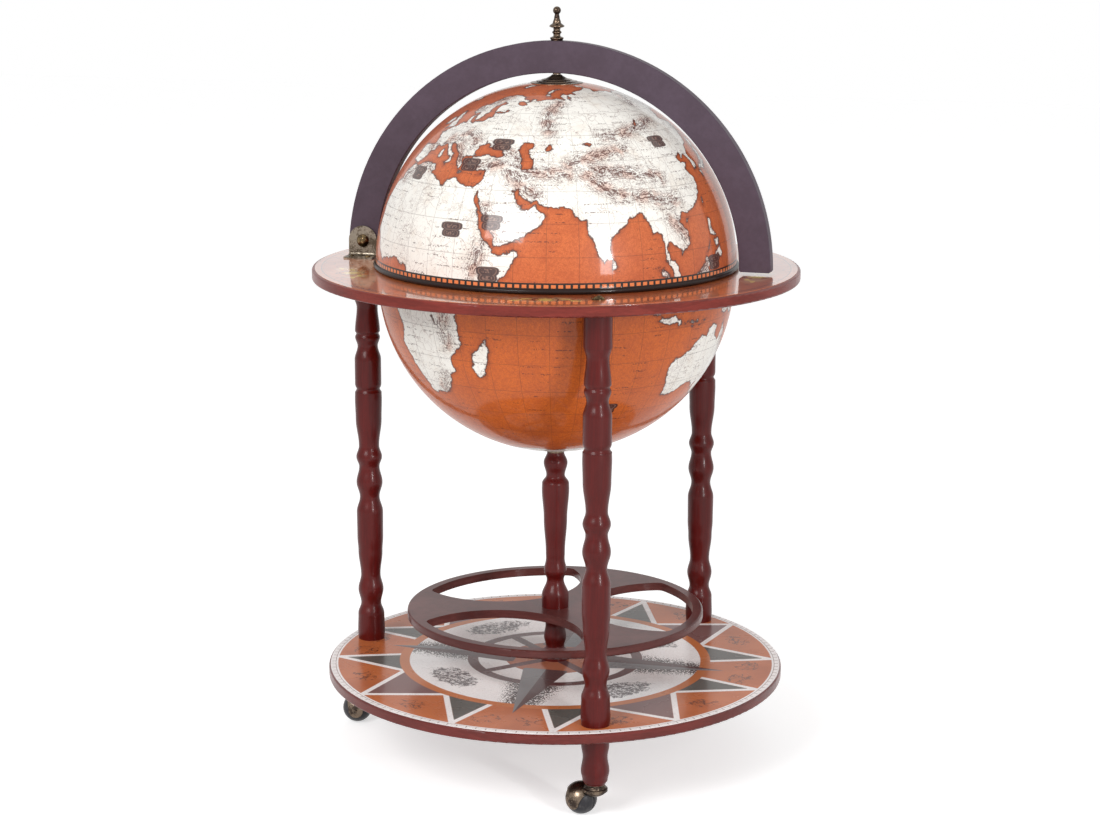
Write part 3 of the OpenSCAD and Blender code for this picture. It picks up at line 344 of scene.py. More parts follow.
# The coasts and lakes that the map shows, as a name and then the
# longitude,latitude of each corner, in degrees.
land_outlines = """
africa -6,36 -2,35 3,37 10,37 11,35 10,34 15,32 19,30 20,32 23,33 29,31 32,31 33,30 34,27 36,24 37,21 38,18
 40,15 43,12 43,11 45,10 48,11 51,12 51,10 49,7 47,4 44,1 42,-1 40,-3 39,-6 40,-10 41,-15 38,-17 35,-20
 36,-24 33,-26 32,-29 30,-32 27,-34 22,-34 20,-35 18,-34 18,-32 16,-28 15,-26 14,-22 12,-17 14,-13 14,-10
 12,-6 9,-2 10,1 10,4 8,5 6,4 4,6 2,6 -2,5 -4,5 -8,4 -11,6 -13,9 -15,11 -17,12 -17,15 -16,17 -17,21 -15,25
 -13,28 -10,30 -10,32 -7,34
eurasia -5,36 -9,37 -9,39 -9,43 -4,43.5 -1,43.5 -1,46 -5,48.5 -1.5,48.7 -1.5,49.7 2,51 4,52 6,53.5 8.5,53.7
 8,57 10.5,57.7 10,56 11,54.3 14,54 18,54.8 21,55 21,57 24,57.3 23.5,59.2 28,59.6 30,60 26,60.3 22.5,60
 21.3,61.5 21.5,63 25.5,65 22,65.8 17.5,62.5 17,60.7 19,59.9 16.5,58 16,56 14,55.4 12.8,55.6 11,58.7 8,58.1
 5.5,58.8 5,61.5 9,63.5 12.5,66 15,68.5 19,70 26,71 31,70.3 34,69.2 41,67.3 40,66.2 33.5,66.6 35,64.3 38,64
 40.5,64.6 40,66 44,66.2 43.5,68.5 46.5,68 47,66.8 54,68.5 60,68.8 65,69.3 69,68.5 67,71 69,73 73,71.5 73,68
 75,67.5 74,70 75,72.7 81,72 81,73.6 87,75 98,76.2 104,77.6 113,76 108,73.5 113,73.7 127,73.3 130,71 140,72.7
 150,71.5 160,70 170,69.6 180,69 190,66.3 187,64.4 180,64.8 178,62.5 170,60 164,59.8 163,56 160,53 156.7,51
 155.8,56.5 163,61.5 157,61.6 152,59 142,59.2 135.5,54.6 141,53 140,48 135.5,44 131.5,43 129.7,41 127.5,39.7
 129.3,37 129,35.3 126.5,34.5 126.7,37.5 125,39.7 121.5,39 121.8,40.8 118,39.2 119,37.3 122.5,37 119.5,35
 122,32 122,29 118.5,24.8 114,22.5 110.3,21.2 108,21.6 106,19 108.8,15.5 109.2,11.7 107,10.4 105,8.7 105,10.5
 102.5,12 101,13.5 100,13.4 99.3,11 100.3,8 102.5,6.2 103.5,4 104,1.4 103,1.6 101.3,3 100.3,6 98.3,8 98.7,11
 97.7,15.5 96.5,17 94.5,16 94,19 91.8,22.5 89,21.8 87,21 86,19.8 82.3,16.7 80.2,15.2 80,12.5 79.8,10.3 78,9
 77.5,8.1 76.3,10 74.5,14 73,17.5 72.7,21 70.5,20.9 69,22.3 68.3,23.6 66.7,25 61.5,25.1 57.3,25.7 56.3,27.1
 54.5,26.6 51.5,27.9 50,30.2 48,30 48.3,28.5 50,26.7 50.8,24.8 51.6,25.8 51.5,24.3 54,24.2 56.4,26.2
 56.5,24.5 59.8,22.5 57.8,19 55,17.3 52,15.6 45,12.9 43.3,12.7 42.7,16.3 39,21.3 37,25 35,28.5 35,29.5
 34.2,27.8 32.6,29.9 32.3,31.2 34.3,31.3 35.8,34.5 36,36.7 32.5,36.1 30.5,36.6 27.5,36.8 26.3,38.3 26.8,40
 29,40.9 31.3,41.2 35,42 38,41 41.6,41.5 39.5,43.5 37,45 39,47 35,46.3 36,45.2 33.6,44.4 32.8,45.8 31,46.6
 29,44.8 27.8,42.5 28.8,41.3 26,40.8 22.8,40.4 24,38 23,36.4 21.2,37.8 19.4,41.5 16,43.7 13.7,45.6 12.4,45.2
 12.5,44.2 14,42.5 16,41.6 18.5,40.1 17,40.4 17,39 15.7,38 15.8,40 12.3,41.7 10.3,43.5 8.8,44.4 6.5,43.1
 3.2,43.2 3,41.8 0.5,40.5 0,38.8 -2,36.8
britain -5.6,50 1.4,51.2 1.7,52.7 0,53.3 -1.7,55.6 -2,57.5 -4,57.7 -3,58.6 -5,58.6 -6,56.8 -4.8,54.7 -3,54
 -4.6,53 -4.3,52
ireland -6,52.2 -10,51.6 -9.8,54.2 -7.5,55.3 -5.6,54.5
iceland -22.5,64 -18.8,63.4 -14,64.7 -15.5,66.3 -22,66.4 -24,65.6
sicily 12.5,38 15.5,38.2 15.2,36.8
sardinia 8.3,39 9.6,39.2 9.4,42.8 8.6,42.4 8.3,40.9
crete 23.6,35.6 26.2,35.2 24,34.9
cyprus 32.3,34.8 34.5,35.6 33.8,34.8
madagascar 49.3,-12 50.4,-16 47.2,-25 45,-25.5 43.5,-22.5 44.4,-20 44,-17 46.5,-15.7
ceylon 79.8,8 80.3,9.7 81.8,7.5 80.5,6
honshu 131,34.2 133,35.5 136,36 137,37.3 139.5,38.5 140,40.5 141.4,41.4 142,39.5 140.8,36 138.5,34.7
 135.8,33.6
hokkaido 140.2,41.8 141.5,45.4 145.3,43.6 143.2,42.2
kyushu 130,33.5 131.7,33.5 131.2,31.4 130.2,31.4
sakhalin 142,46 143.3,49.5 143,54.2 141.8,53 142,49.5
formosa 120.2,23 121.5,25.2 120.9,22
hainan 108.7,19.3 111,20 109.7,18.3
luzon 120.3,16.2 120.7,18.5 122.2,18.4 121.6,15.8 123.9,13 120.7,13.9
mindanao 122,7 123.5,8.6 125.6,9.7 126.5,7.5 125.5,5.8 124,7.4
visayas 122,11.7 125,12 125,10.2 123,9.3
palawan 117.3,8.3 119.5,11.3 118.6,9.3
borneo 109,1.5 111.2,2.5 113.2,3.4 116.8,7 119,5.2 117.6,3.5 118,1 116.5,-2 115,-4 111.8,-3.4 110,-1.5
sumatra 95.3,5.6 97.6,5.2 100.4,2.2 103.6,-1 106,-3 105.8,-5.8 103.5,-4.8 101,-2.5 98.7,1.6
java 105,-6.8 106.8,-5.7 109,-6.7 110.8,-6 112.8,-6.8 114.6,-7.6 114.3,-9 112,-8.3 110,-8.6 106.5,-7.8
celebes 119.5,-5.5 119,-3.3 120,0.7 124.8,1.5 124.5,0.4 120.5,0.3 121.2,-1.2 123.3,-0.9 121.6,-2 122.8,-4.6
 121.5,-4.7 120.9,-2.8 120.4,-5.6
papua 131,-0.8 134.2,-0.9 135,-3.3 138,-1.7 141,-2.6 145.5,-4.4 147.8,-6 147,-6.8 150.7,-10.4 147,-9.4
 143.5,-8.5 141,-9.1 138,-8.3 137.8,-5.4 133,-4 133.8,-2.5
timor 123.6,-10.3 127.2,-8.4 125,-9.3
lombok 115.4,-8.1 116.6,-8.2 117,-9.2 115.8,-9
sumbawa 117.2,-8.2 118.5,-8.6 119.6,-8 121,-8.5 123,-8 122.6,-9.1 120.4,-9 118.6,-9.3
sumba 119,-9.8 120.8,-9.9 120.6,-10.7
moluccas 127.6,-0.8 127.4,1.2 128,2.2 128.6,0.5
ceram 128,-3 130.8,-3.2 129,-3.6
britannia_nova 148.5,-5.7 151.5,-4.2 152.3,-4.3 150.5,-6.2
australia 114,-22 113.7,-26 115.5,-31.5 115,-34.2 118,-35 123.5,-34 126,-32.2 131.2,-31.5 134.3,-33
 135.8,-34.8 137.8,-32.7 138,-35.5 140.5,-38 143.5,-38.8 146.4,-39 150,-37.4 151.2,-33.8 153.2,-31 153.3,-27
 151,-23.8 149,-20.6 146.2,-18.8 145.4,-15 143.6,-14.2 142.5,-10.8 141.6,-13.5 141,-17.4 139.2,-17.5
 135.5,-15 136.8,-12.2 132.6,-11.4 131,-12.2 129.7,-15 127,-13.9 123.7,-16.3 122.2,-18.2 119,-20 116,-20.8
tasmania 144.7,-40.8 148.2,-40.9 147.9,-43.2 146,-43.5
zealand_north 172.8,-34.5 175.3,-36.8 178.4,-37.8 176.8,-40 175.2,-41.5 173.8,-39.3 174.8,-37.8
zealand_south 172.8,-40.6 174.2,-41.6 171,-44.2 170.5,-46 168.4,-46.6 166.6,-45.8 171,-42.5
svalbard 14,77 17,76.6 21,78.5 27,80.2 16,80 11,79.5
zemlya 52,71 57.5,70.7 55.8,73 60,75.5 68.5,76.8 66,77 57,75.5 53.5,73
severnaya 96,79 105,78.5 100,81
siberian_isles 138,75.5 150,75 142,73.7
greenland -45,60 -53.5,66.5 -52,69.5 -55,71.5 -60,76 -71,77.2 -66,80 -45,82.2 -30,83.5 -15,81.5 -19,77 -20,74
 -24,70.5 -32,68 -40,65
north_america -168,65.6 -161,64.5 -165,62 -165,60 -158,58.6 -164,54.7 -153,57.5 -151,60 -146,60.8 -137,58.5
 -131,55 -124.5,48.5 -124,43 -124.3,40.3 -121.8,36.5 -120.5,34.5 -117.2,32.5 -115,29 -112,25.5 -110,23
 -111.5,26.5 -114.5,31.5 -112.5,29.5 -109,25.7 -105.5,20.5 -102,18 -95,16 -91.5,14 -87.6,13 -85.7,10.5
 -83,8.3 -80,7.4 -78,8 -77,8 -79.5,9.6 -83.5,11 -83.3,15 -88.5,15.8 -87.8,18.5 -87,21.4 -90.4,21.1 -91.5,18.6
 -95,18.6 -97.5,22 -97.3,27.5 -94,29.6 -89.3,29.2 -84,30 -82.7,27.5 -80.8,25.2 -80.2,27.5 -81.3,31 -78,34
 -75.6,35.3 -76,37.5 -74,40.5 -70,41.8 -70,43.7 -66,44.6 -65.6,43.6 -61,45.8 -65,47 -65,49 -66.5,50.2
 -60,50.2 -55.8,52.6 -61.5,56.5 -64.5,60.3 -69.5,58.8 -77.5,62.4 -78,58.8 -76.5,57 -79,54.7 -79.5,51.3
 -82.3,53 -82.3,55.2 -88,56.6 -92.7,57 -94.7,58.8 -94,61.5 -87,64.5 -86,66.5 -81.5,68.5 -92,69.5 -94.5,72
 -96,68 -108,68 -115,68.5 -125,70 -135,69 -141,69.6 -156.5,71.3 -163,69.5 -166.5,68.3 -162,66.5
baffin -64,66.5 -62,66 -65,62 -72,63.5 -78,64.5 -73,67.5 -78,70 -88,71 -89.5,73.5 -80,73.7 -72,71.5 -67,69.5
victoria -117,69.5 -105,68.9 -101.5,70 -106,73.2 -117.5,73 -117,71.5
banks -125,72 -123,74.3 -117,73.5 -121,71.6
ellesmere -90,76.5 -78,76.5 -70,80 -62,82.5 -75,83 -92,81.5 -86,79
melville -117,75.5 -104,75.5 -97,76.5 -110,76.7
newfoundland -59.3,47.7 -53,46.7 -53,48.6 -55.7,51.5 -58,49
vancouver -128,50.7 -125,50 -123.5,48.4
kodiak -154.5,57.3 -152.5,58.2 -152.5,57.2
hawaii -156,20.2 -155,19.7 -155.8,19
cuba -84.8,21.9 -82.5,23 -77.5,21.8 -74.2,20.2 -77.5,19.9 -78.5,21
haiti -74.3,18.5 -73,19.9 -68.5,18.6 -71.5,17.8
jamaica -78.3,18.4 -76.3,18.1 -77.3,17.8
south_america -78,8 -77,8.6 -75.5,10.7 -71.7,12.3 -71.5,10.8 -68,11.2 -64,10.2 -61.8,10.7 -60,8.5 -57,6
 -51.5,4.3 -50,1.5 -49.5,-0.5 -44.5,-2.3 -39.5,-2.9 -35.2,-5.5 -34.9,-8 -37,-11.2 -39,-13.5 -39,-17.5 -41,-22
 -44.5,-23.2 -48.5,-25.5 -48.7,-28.5 -52,-32.5 -54.9,-34.9 -58.3,-34 -56.7,-36.4 -57.6,-38.2 -62,-39 -65,-41
 -63.7,-42.6 -65.5,-45 -67.5,-46.3 -66,-48 -69,-50.7 -68.3,-52.5 -65.2,-54.7 -68.5,-55.5 -73.5,-52.5
 -75.5,-47 -74,-43 -73.7,-39.5 -73,-37 -71.5,-33 -71.5,-30 -70.3,-25 -70.2,-18.5 -76.2,-13.8 -79.8,-7
 -81.3,-4.5 -80,-2.8 -80.3,0.5 -77.5,4 -77.5,7
falklands -61,-51.8 -58,-51.5 -59.5,-52.3
antarctica -200,-78 -160,-77.5 -150,-77 -135,-74.5 -115,-74 -100,-73 -80,-73 -68,-70 -62,-65 -57,-63.3
 -62,-68 -61,-74 -45,-78 -28,-76 -15,-72.5 0,-70 15,-70 35,-69 45,-67.5 57,-66.5 70,-69 80,-67.5 95,-66.3
 115,-66.5 135,-66 150,-68.5 165,-71 165,-77.5 200,-78 200,-95 -200,-95
"""
lake_outlines = """
caspian 47,45 49,46.5 53,46.8 53,45 51,44.5 52.5,41.8 54,40 54,37.2 50,37.4 49,39 49.5,40.5 47.7,42.8
aral 58.5,44 60.5,46.5 61.5,45 59.5,43.8
baikal 104,51.5 109.5,55.7 108.5,53.5
balkhash 74,46.5 79,46.8 76,45.6
victoria_nyanza 32,-2.5 34,-1 32.5,0.3 31.8,-1
tanganyika 29.3,-4 30.8,-8.5 29.8,-6
superior -92,46.8 -84.8,46.7 -88,48.8
michigan -87.6,42 -86.3,42.5 -85.3,45.8 -87.3,45
huron -84,46 -80.5,45 -82.5,43.2
erie -83,41.7 -79,42.8 -80.5,42.8
great_bear -124,65.5 -118,65.2 -121,66.8
great_slave -116.5,61 -109.5,62.8 -113,61.2
winnipeg -98.5,53.8 -96.5,50.8 -97.8,52
ladoga 30.5,60 32.8,60.8 31,61.6
"""


def outlines(text):
    """The named outlines in a text of lon,lat pairs, as arrays."""
    found = []
    for word in text.split():
        if "," in word:
            found[-1].append([float(x) for x in word.split(",")])
        else:
            found.append([])
    return [np.array(f) for f in found]


def from_line(lon, lat, start, end, shrink):
    """The square of the distance in degrees to the line between two points,
    with longitudes shrunk."""
    dx, dy = (end[0] - start[0]) * shrink, end[1] - start[1]
    px, py = (lon - start[0]) * shrink, lat - start[1]
    s = np.clip((px * dx + py * dy) / (dx * dx + dy * dy + 1e-12), 0, 1)
    return (px - s * dx) ** 2 + (py - s * dy) ** 2


def inside_by(outline, lon, lat):
    """Degrees inside the outline, negative outside: the distance to its
    nearest edge, longitudes shrunk by the cosine of the latitude, signed by
    an even-odd count of the edges that a line to the north crosses."""
    near = np.full(lon.shape, 1e9)
    odd = np.zeros(lon.shape, dtype=bool)
    shrink = np.cos(np.radians(np.clip(lat, -84, 84)))
    for start, end in zip(outline, np.roll(outline, -1, 0)):
        near = np.minimum(near, from_line(lon, lat, start, end, shrink))
        (x0, y0), (x1, y1) = start, end
        odd ^= ((x0 > lon) != (x1 > lon)) & (lat < y0 + (lon - x0) * (y1 - y0) / (x1 - x0 + 1e-12))
    return np.where(odd, 1, -1) * np.sqrt(near)


def about(outline, lon, lat, margin):
    """Which points are within a margin of the outline's four limits."""
    lo, hi = outline.min(0) - margin, outline.max(0) + margin
    return (lon > lo[0]) & (lon < hi[0]) & (lat > lo[1]) & (lat < hi[1])


def coast(lon, lat):
    """Degrees inland of the nearest coast, negative at sea. Land that crosses
    180 degrees is looked up from both sides."""
    far_at_sea, land_margin, lake_margin = -40.0, 12, 6
    best = np.full(lon.shape, far_at_sea)
    for outline in outlines(land_outlines):
        for turn in (0, 360) if 180 < outline[:, 0].max() < 200 else (0,):
            ok = about(outline, lon + turn, lat, land_margin)
            best[ok] = np.maximum(best[ok], inside_by(outline, lon[ok] + turn, lat[ok]))
    for outline in outlines(lake_outlines):
        ok = about(outline, lon, lat, lake_margin)
        best[ok] = np.minimum(best[ok], -inside_by(outline, lon[ok], lat[ok]))
    return best


# The mountain ranges, as lines in the same form.
ranges = """
himalaya 73,36 78,32 85,28.5 92,27.5 97,28
tien_shan 68,39 75,41 82,43 92,44
kunlun 76,37 86,36 98,35 104,33
altai 85,50 92,49 100,51 112,53 122,55
verkhoyansk 127,64 134,68 142,66 150,62
urals 59,52 58,60 66,67
caucasus 38,44 44,42.5 48,41
anatolia 29,37 35,37.5 42,39
zagros 45,37 50,32 56,28.5
elburz 48,38 53,36 60,36.5 67,35
ethiopia 39,14 38,9 37,5
rift 36,0 34,-8 35,-15
atlas -8,31 -2,34 8,36
hedjaz 39,24 43,16
pyrenees -1,43 2,42.6
alps 6,44.5 9,46.5 14,47
carpathians 18,49 24,48 25,45.6
balkans 16,44 21,41 22,38.5
scandes 6,60 12,64 20,69
drakensberg 27,-32 31,-27
great_divide 146,-37 151,-31 150,-25 145,-17
annam 103,20 107,16 108,12
yunnan 98,27 103,25 108,26
andes -70,9 -76,3 -79,-5 -72,-15 -68,-22 -70,-33 -72,-45 -70,-53
brazil -42,-20 -46,-23
rockies -150,63 -138,61 -128,56 -120,51 -113,46 -107,40 -106,34 -103,25 -98,18
cascades -122,48 -120,40 -117,34
appalachians -84,34 -79,38 -73,43
labrador -66,58 -64,53
borneo_hills 111,1 116,5
sumatra_hills 97,4 102,-3
papua_hills 136,-4 143,-6 147,-8
"""


def uplands(lon, lat):
    """Degrees from the nearest mountain range, 9 at most, longitudes shrunk
    by the cosine of the latitude."""
    farthest = 9
    near = np.full(lon.shape, 1.0 * farthest ** 2)
    for line in outlines(ranges):
        for start, end in zip(line[:-1], line[1:]):
            near = np.minimum(near, from_line(lon, lat, start, end, np.cos(np.radians(lat))))
    return np.sqrt(near)


def plaques(lon, lat, places):
    """Inside the map's label plaques, in degrees: two flat ovals, one above
    the other, at each place (lon, lat, half width)."""
    half_height = 1.2
    best = np.full(lon.shape, -9.0)
    for x, y, wide in places:
        u = ((lon - x + 180) % 360 - 180) * np.cos(np.radians(y))
        for lift, share in ((1.05, 0.84), (-1.1, 0.7)):
            reach = (np.abs(u / (wide * share)) ** 4 + np.abs((lat - y - lift) / half_height) ** 4) ** 0.25
            best = np.maximum(best, (1 - reach) * half_height)
    return best


def hemisphere(name, centre, outer, inner, edge, pole, turn, places, body, materials):
    """A hollow half ball with its map. Outside, rows of latitude run from the
    edge to the pole (1 north, -1 south), inside a few rows run back: x = R
    cos(lat) cos(a), y = R cos(lat) sin(a), z = centre + R sin(lat). turn is
    the angle about the globe of longitude 0, and edge the height of the rim."""
    def rows(radius, count):
        lat = np.linspace(math.asin((edge - centre) / radius) * pole, math.pi / 2, count)
        return np.stack([np.full(count, radius), lat * pole])
    outer_rows, inner_rows, columns = 150, 24, 540
    radius, lat = np.hstack([rows(outer, outer_rows), rows(inner, inner_rows)[:, ::-1]])
    points = revolve(radius * np.cos(lat), centre + radius * np.sin(lat), columns)
    lon = (np.degrees(turns(columns)) - turn + 180) % 360 - 180
    lat, lon = np.meshgrid(np.degrees(lat), lon, indexing="ij")
    fields = {"coast": coast(lon, lat), "uplands": uplands(lon, lat), "plaque": plaques(lon, lat, places)}
    piece = surface(name, points, body, *materials, fields=fields, sharp=50)
    middle = np.empty(len(piece.data.polygons) * 3)
    piece.data.polygons.foreach_get("center", middle)
    middle = middle.reshape(-1, 3) - (0, 0, centre)
    is_lining = np.linalg.norm(middle, axis=1) < (outer + inner) / 2
    piece.data.polygons.foreach_set("material_index", is_lining.astype(np.int32))
    return piece


def parts(where):
    """The three coordinates of a place."""
    return [Wire(s) for s in add(where.tree, "SeparateXYZ", where).socket.node.outputs]


def cells(where, scale, feature):
    """The distance from the edges, or the middles, of a net of cells."""
    made = where.tree.nodes.new("ShaderNodeTexVoronoi")
    made.feature = feature
    fill(made.inputs, Vector=where, Scale=scale)
    return Wire(made.outputs["Distance"])


def near_line(value, step, half, soft):
    """1 within half of every multiple of step, fading over soft."""
    off = abs(value.calc("WRAP", step, 0.0) - step / 2)
    return fade(off, step / 2 - half - soft, step / 2 - half)


# The map's inks: cream land, stained a little, and an orange-brown sea with a
# fine dark fleck; dark coasts, hill hachures, rivers and borders, a thin net
# of meridians and parallels, wordless jots, dark plaques with a rim and a few
# scratches, and a chequered band that runs round the edge at the height Band,
# in millimetres from the middle.
chart, inks, where = group("old_chart", {
    "Coast": -9.0, "Uplands": 9.0, "Plaque": -9.0, "Centre": (0.0, 0.0, 0.0), "Turn": 0.0, "Band": -999.0,
    "Land": (0.9, 0.87, 0.81, 1), "Sea": (0.62, 0.17, 0.055, 1), "Ink": (0.07, 0.024, 0.018, 1)})
place = add(chart, "VectorMath", where, inks["Centre"], operation="SUBTRACT")
ball = add(chart, "VectorMath", place, operation="NORMALIZE")
x, y, z = parts(ball)
lat = z.calc("ARCSINE").calc("DEGREES")
lon = y.calc("ARCTAN2", x).calc("DEGREES") - inks["Turn"]
hills, plaque = inks["Uplands"], inks["Plaque"]

ragged = (noise(ball, 24.0, 5.0, 0.62) - 0.5) * 3.0 + inks["Coast"]
blot = noise(ball, 9.0, 4.0, 0.6)
fleck = noise(ball, 210.0, 2.0, 0.7)
sea = paint(fade(blot, 0.44, 0.62, 0.0, 0.4), inks["Sea"], (0.46, 0.1, 0.03, 1))
sea = paint(fade(fleck, 0.44, 0.62, 0.0, 0.55), sea, (0.36, 0.07, 0.022, 1))
sea = paint(fade(noise(ball, 62.0, 3.0, 0.65), 0.46, 0.6, 0.0, 0.42), sea, (0.4, 0.076, 0.022, 1))
sea = paint(fade(ragged, -1.4, 0.0, 0.0, 0.45), sea, (0.2, 0.035, 0.016, 1))

land = paint(fade(blot, 0.5, 0.66, 0.0, 0.25), inks["Land"], (0.74, 0.62, 0.5, 1))
flat = stretched(ball, (1.0, 1.0, 2.3))
wavy = (noise(ball, 12.0, 5.0, 0.68) - 0.5) * 6.0 + hills
crest = fade(abs(wavy), 0.08, 0.5, 1.0, 0.0)
spur = near_line(wavy, 0.8, 0.08, 0.16) * fade(noise(ball, 26.0, 3.0), 0.42, 0.52)
hill = greatest(crest, spur) * fade(hills, 1.0, 4.6, 1.0, 0.0)
shade = fade(noise(flat, 21.0, 5.0, 0.75, 0.4), 0.55, 0.61) * fade(hills, 0.3, 2.6, 0.9, 0.0)
crag = thread(noise(flat, 30.0, 4.0, 0.7, 0.6), 0.03)
downs = greatest(fade(noise(ball, 4.4, 3.0), 0.48, 0.62, 0.0, 0.5), fade(hills, 1.5, 5.5, 0.75, 0.0))
hill = greatest(hill, shade, crag * downs) * 0.92
tint = fade(hills, 0.5, 3.4, 0.6, 0.0) * fade(noise(ball, 14.0, 3.0), 0.45, 0.6)
land = paint(tint, land, (0.68, 0.4, 0.3, 1))
land = paint(hill, land, (0.1, 0.03, 0.024, 1))
river = greatest(thread(noise(ball, 8.5, 3.0, 0.6), 0.007), thread(noise(ball, 19.0), 0.009) * 0.5)
land = paint(river * 0.55, land, (0.16, 0.06, 0.045, 1))
wander = add(chart, "TexNoise", ball, None, 7.0, out=1)
wander = add(chart, "VectorMath", wander, (0.16, 0.16, 0.16), ball, operation="MULTIPLY_ADD")
frontier = fade(cells(wander, 8.5, "DISTANCE_TO_EDGE"), 0.004, 0.014, 0.4, 0.0)
land = paint(frontier, land, (0.2, 0.09, 0.07, 1))

colour = paint(fade(ragged, -0.05, 0.05), sea, land)
net_step = 10.0
net = greatest(near_line(lat, net_step, 0.06, 0.08), near_line(lon, net_step, 0.06, 0.08))
colour = paint(net * 0.4, colour, inks["Ink"])
line_gap = 2.9
row = (lat / line_gap).calc("FLOOR")
run = noise(add(chart, "CombineXYZ", lon, row * 37.0), 0.1, 1.0)
jot = noise(add(chart, "CombineXYZ", lon, lat * 1.2, row), 1.9, 1.0)
written = fade(fade(ragged, -0.4, 0.4) * 0.05 + run, 0.6, 0.62) * near_line(lat, line_gap, 0.3, 0.12)
colour = paint(fade(jot, 0.5, 0.56) * written * 0.75, colour, inks["Ink"])
shore = fade(abs(ragged - 0.02), 0.08, 0.34, 0.9, 0.0)
colour = paint(shore, colour, inks["Ink"])
colour = paint(fade(plaque, -0.1, 0.04, 0.0, 0.95), colour, (0.045, 0.014, 0.013, 1))
rim = fade(abs(plaque - 0.26), 0.02, 0.08, 0.35, 0.0)
scratches = fade(plaque, 0.5, 0.62) * fade(noise(ball, 95.0), 0.5, 0.56)
colour = paint(greatest(rim, scratches * 0.45), colour, (0.42, 0.25, 0.19, 1))

over = parts(place)[2] * 1000.0 - inks["Band"]
bars, black = 165, (0.02, 0.012, 0.01, 1)
band = paint(near_line(lon, 360 / bars, 0.36, 0.05), (0.72, 0.2, 0.06, 1), black)
band = paint(fade(abs(over), 1.7, 2.0), band, black)
colour = paint(fade(over, 3.6, 3.9, 1.0, 0.0), colour, band)
give(chart, colour, blot * 0.12 + 0.3, hill * -0.4 + fleck)

# The lining: brown card with a soft fibre.
card, tones, where = group("brown_card", {"Tone": (0.2, 0.085, 0.045, 1), "Deep": (0.12, 0.045, 0.025, 1)})
fibre = noise(where, 340.0, 3.0, 0.7)
colour = paint(fade(noise(where, 26.0, 4.0), 0.35, 0.7), tones["Tone"], tones["Deep"])
give(card, colour, fibre * 0.2 + 0.55, fibre)
lining = finish("globe_lining", card, {}, bump=0.0002)

bowl_centre, bowl_turn = 0.5804, -145.3
bowl_outer, bowl_inner = 0.2085, 0.205
south_map = finish(
    "southern_map", chart,
    {"Coast": "coast", "Uplands": "uplands", "Plaque": "plaque", "Centre": (0, 0, bowl_centre),
     "Turn": bowl_turn, "Sea": (0.63, 0.14, 0.024, 1)},
    bump=0.0001, Coat_Weight=0.4, Coat_Roughness=0.08, Specular_IOR_Level=0.06)
south_plaques = [
    (79, -1.6, 4.2), (92, -38, 4.2), (-20, -30, 4.2), (-110, -22, 4.2), (-60, -62, 4.0), (150, -52, 4.0)]
bowl_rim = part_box("lower_bowl")[1][2]
bowl = hemisphere("bowl", bowl_centre, bowl_outer, bowl_inner, bowl_rim, -1, bowl_turn, south_plaques,
                  "stand", (south_map, lining))
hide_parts("lower_bowl")


# ---- Bar inside the globe -------------------------------------------------
# A hoop of bare birch screwed up into the ring carries the tray on its inner
# ledge. Tray and glass floor are dark stained boards with bored holes, three
# turned spacers apart.
birch = board("birch_hoop", (0.52, 0.34, 0.19), (0.36, 0.21, 0.11), (3, 3, 30), 0.5, bump=0.0002, pores=0.2)
dress(birch, "bowl_hoop")
tray_stain = board("tray_stain", (0.17, 0.042, 0.03), (0.06, 0.014, 0.012), (1.5, 12, 8), 0.26,
                   coat=(0.5, 0.15))
dress(tray_stain, "bar_tray", "glass_floor", "tray_spacers")

# Zinc-plated steel: a spangled grey with a dull bloom and fine scratches.
plated, tones, where = group("plated_steel", {"Tint": (0.55, 0.55, 0.53, 1), "Bloom": (0.3, 0.3, 0.3, 1)})
spangle = noise(where, 160.0, 3.0, 0.6)
scratch = fade(noise(stretched(where, (1.0, 1.0, 22.0)), 90.0), 0.6, 0.7)
colour = paint(fade(spangle, 0.35, 0.7), tones["Tint"], tones["Bloom"])
give(plated, colour, spangle * 0.35 + 0.2, spangle - scratch)
zinc = finish("zinc_plate", plated, {}, bump=0.00005, Metallic=1.0)
dress(zinc, "hoop_screws")


# ---- Hinge ----------------------------------------------------------------
# Two stamped angle brackets screwed through the print into the ring, one each
# side of the meridian's end, and a domed bolt with a cap nut through both. All
# are brass, blackened and rubbed back so that it shows in specks and on edges.
antique, metal, where = group("antique_brass", {
    "Bright": (0.24, 0.165, 0.08, 1), "Dark": (0.03, 0.02, 0.013, 1), "Wear": 0.5, "Speck": 1.0,
    "Polish": 0.3})
speck = noise(where, 520.0, 4.0, 0.7)
worn = (speck - 0.5) * metal["Speck"] + noise(where, 70.0, 4.0, 0.6) + (metal["Wear"] - 0.5)
rubbed = fade(worn, 0.36, 0.56)
colour = paint(rubbed, metal["Dark"], metal["Bright"])
give(antique, colour, rubbed * -0.15 + (metal["Polish"] + 0.15), speck + rubbed)


def brass(name, bright, dark, wear, bump, speck=0.5, polish=0.24, metallic=1.0):
    """A blackened metal. A higher wear bares more of it, speck breaks that up,
    and polish is how rough the bare metal is."""
    values = {"Bright": (*bright, 1), "Dark": (*dark, 1), "Wear": wear, "Speck": speck, "Polish": polish}
    return finish(name, antique, values, bump=bump, Metallic=metallic)


speckled_brass = brass("speckled_brass", (0.25, 0.21, 0.165), (0.085, 0.065, 0.045), 0.47, 0.0001,
                       speck=1.0, polish=0.3)
dress(speckled_brass, "bracket_front", "bracket_back")
rubbed_brass = brass("rubbed_brass", (0.24, 0.165, 0.08), (0.03, 0.02, 0.013), 0.48, 0.00003, polish=0.14)
dress(rubbed_brass, "bracket_screws", "hinge_bolt", "hinge_nut")


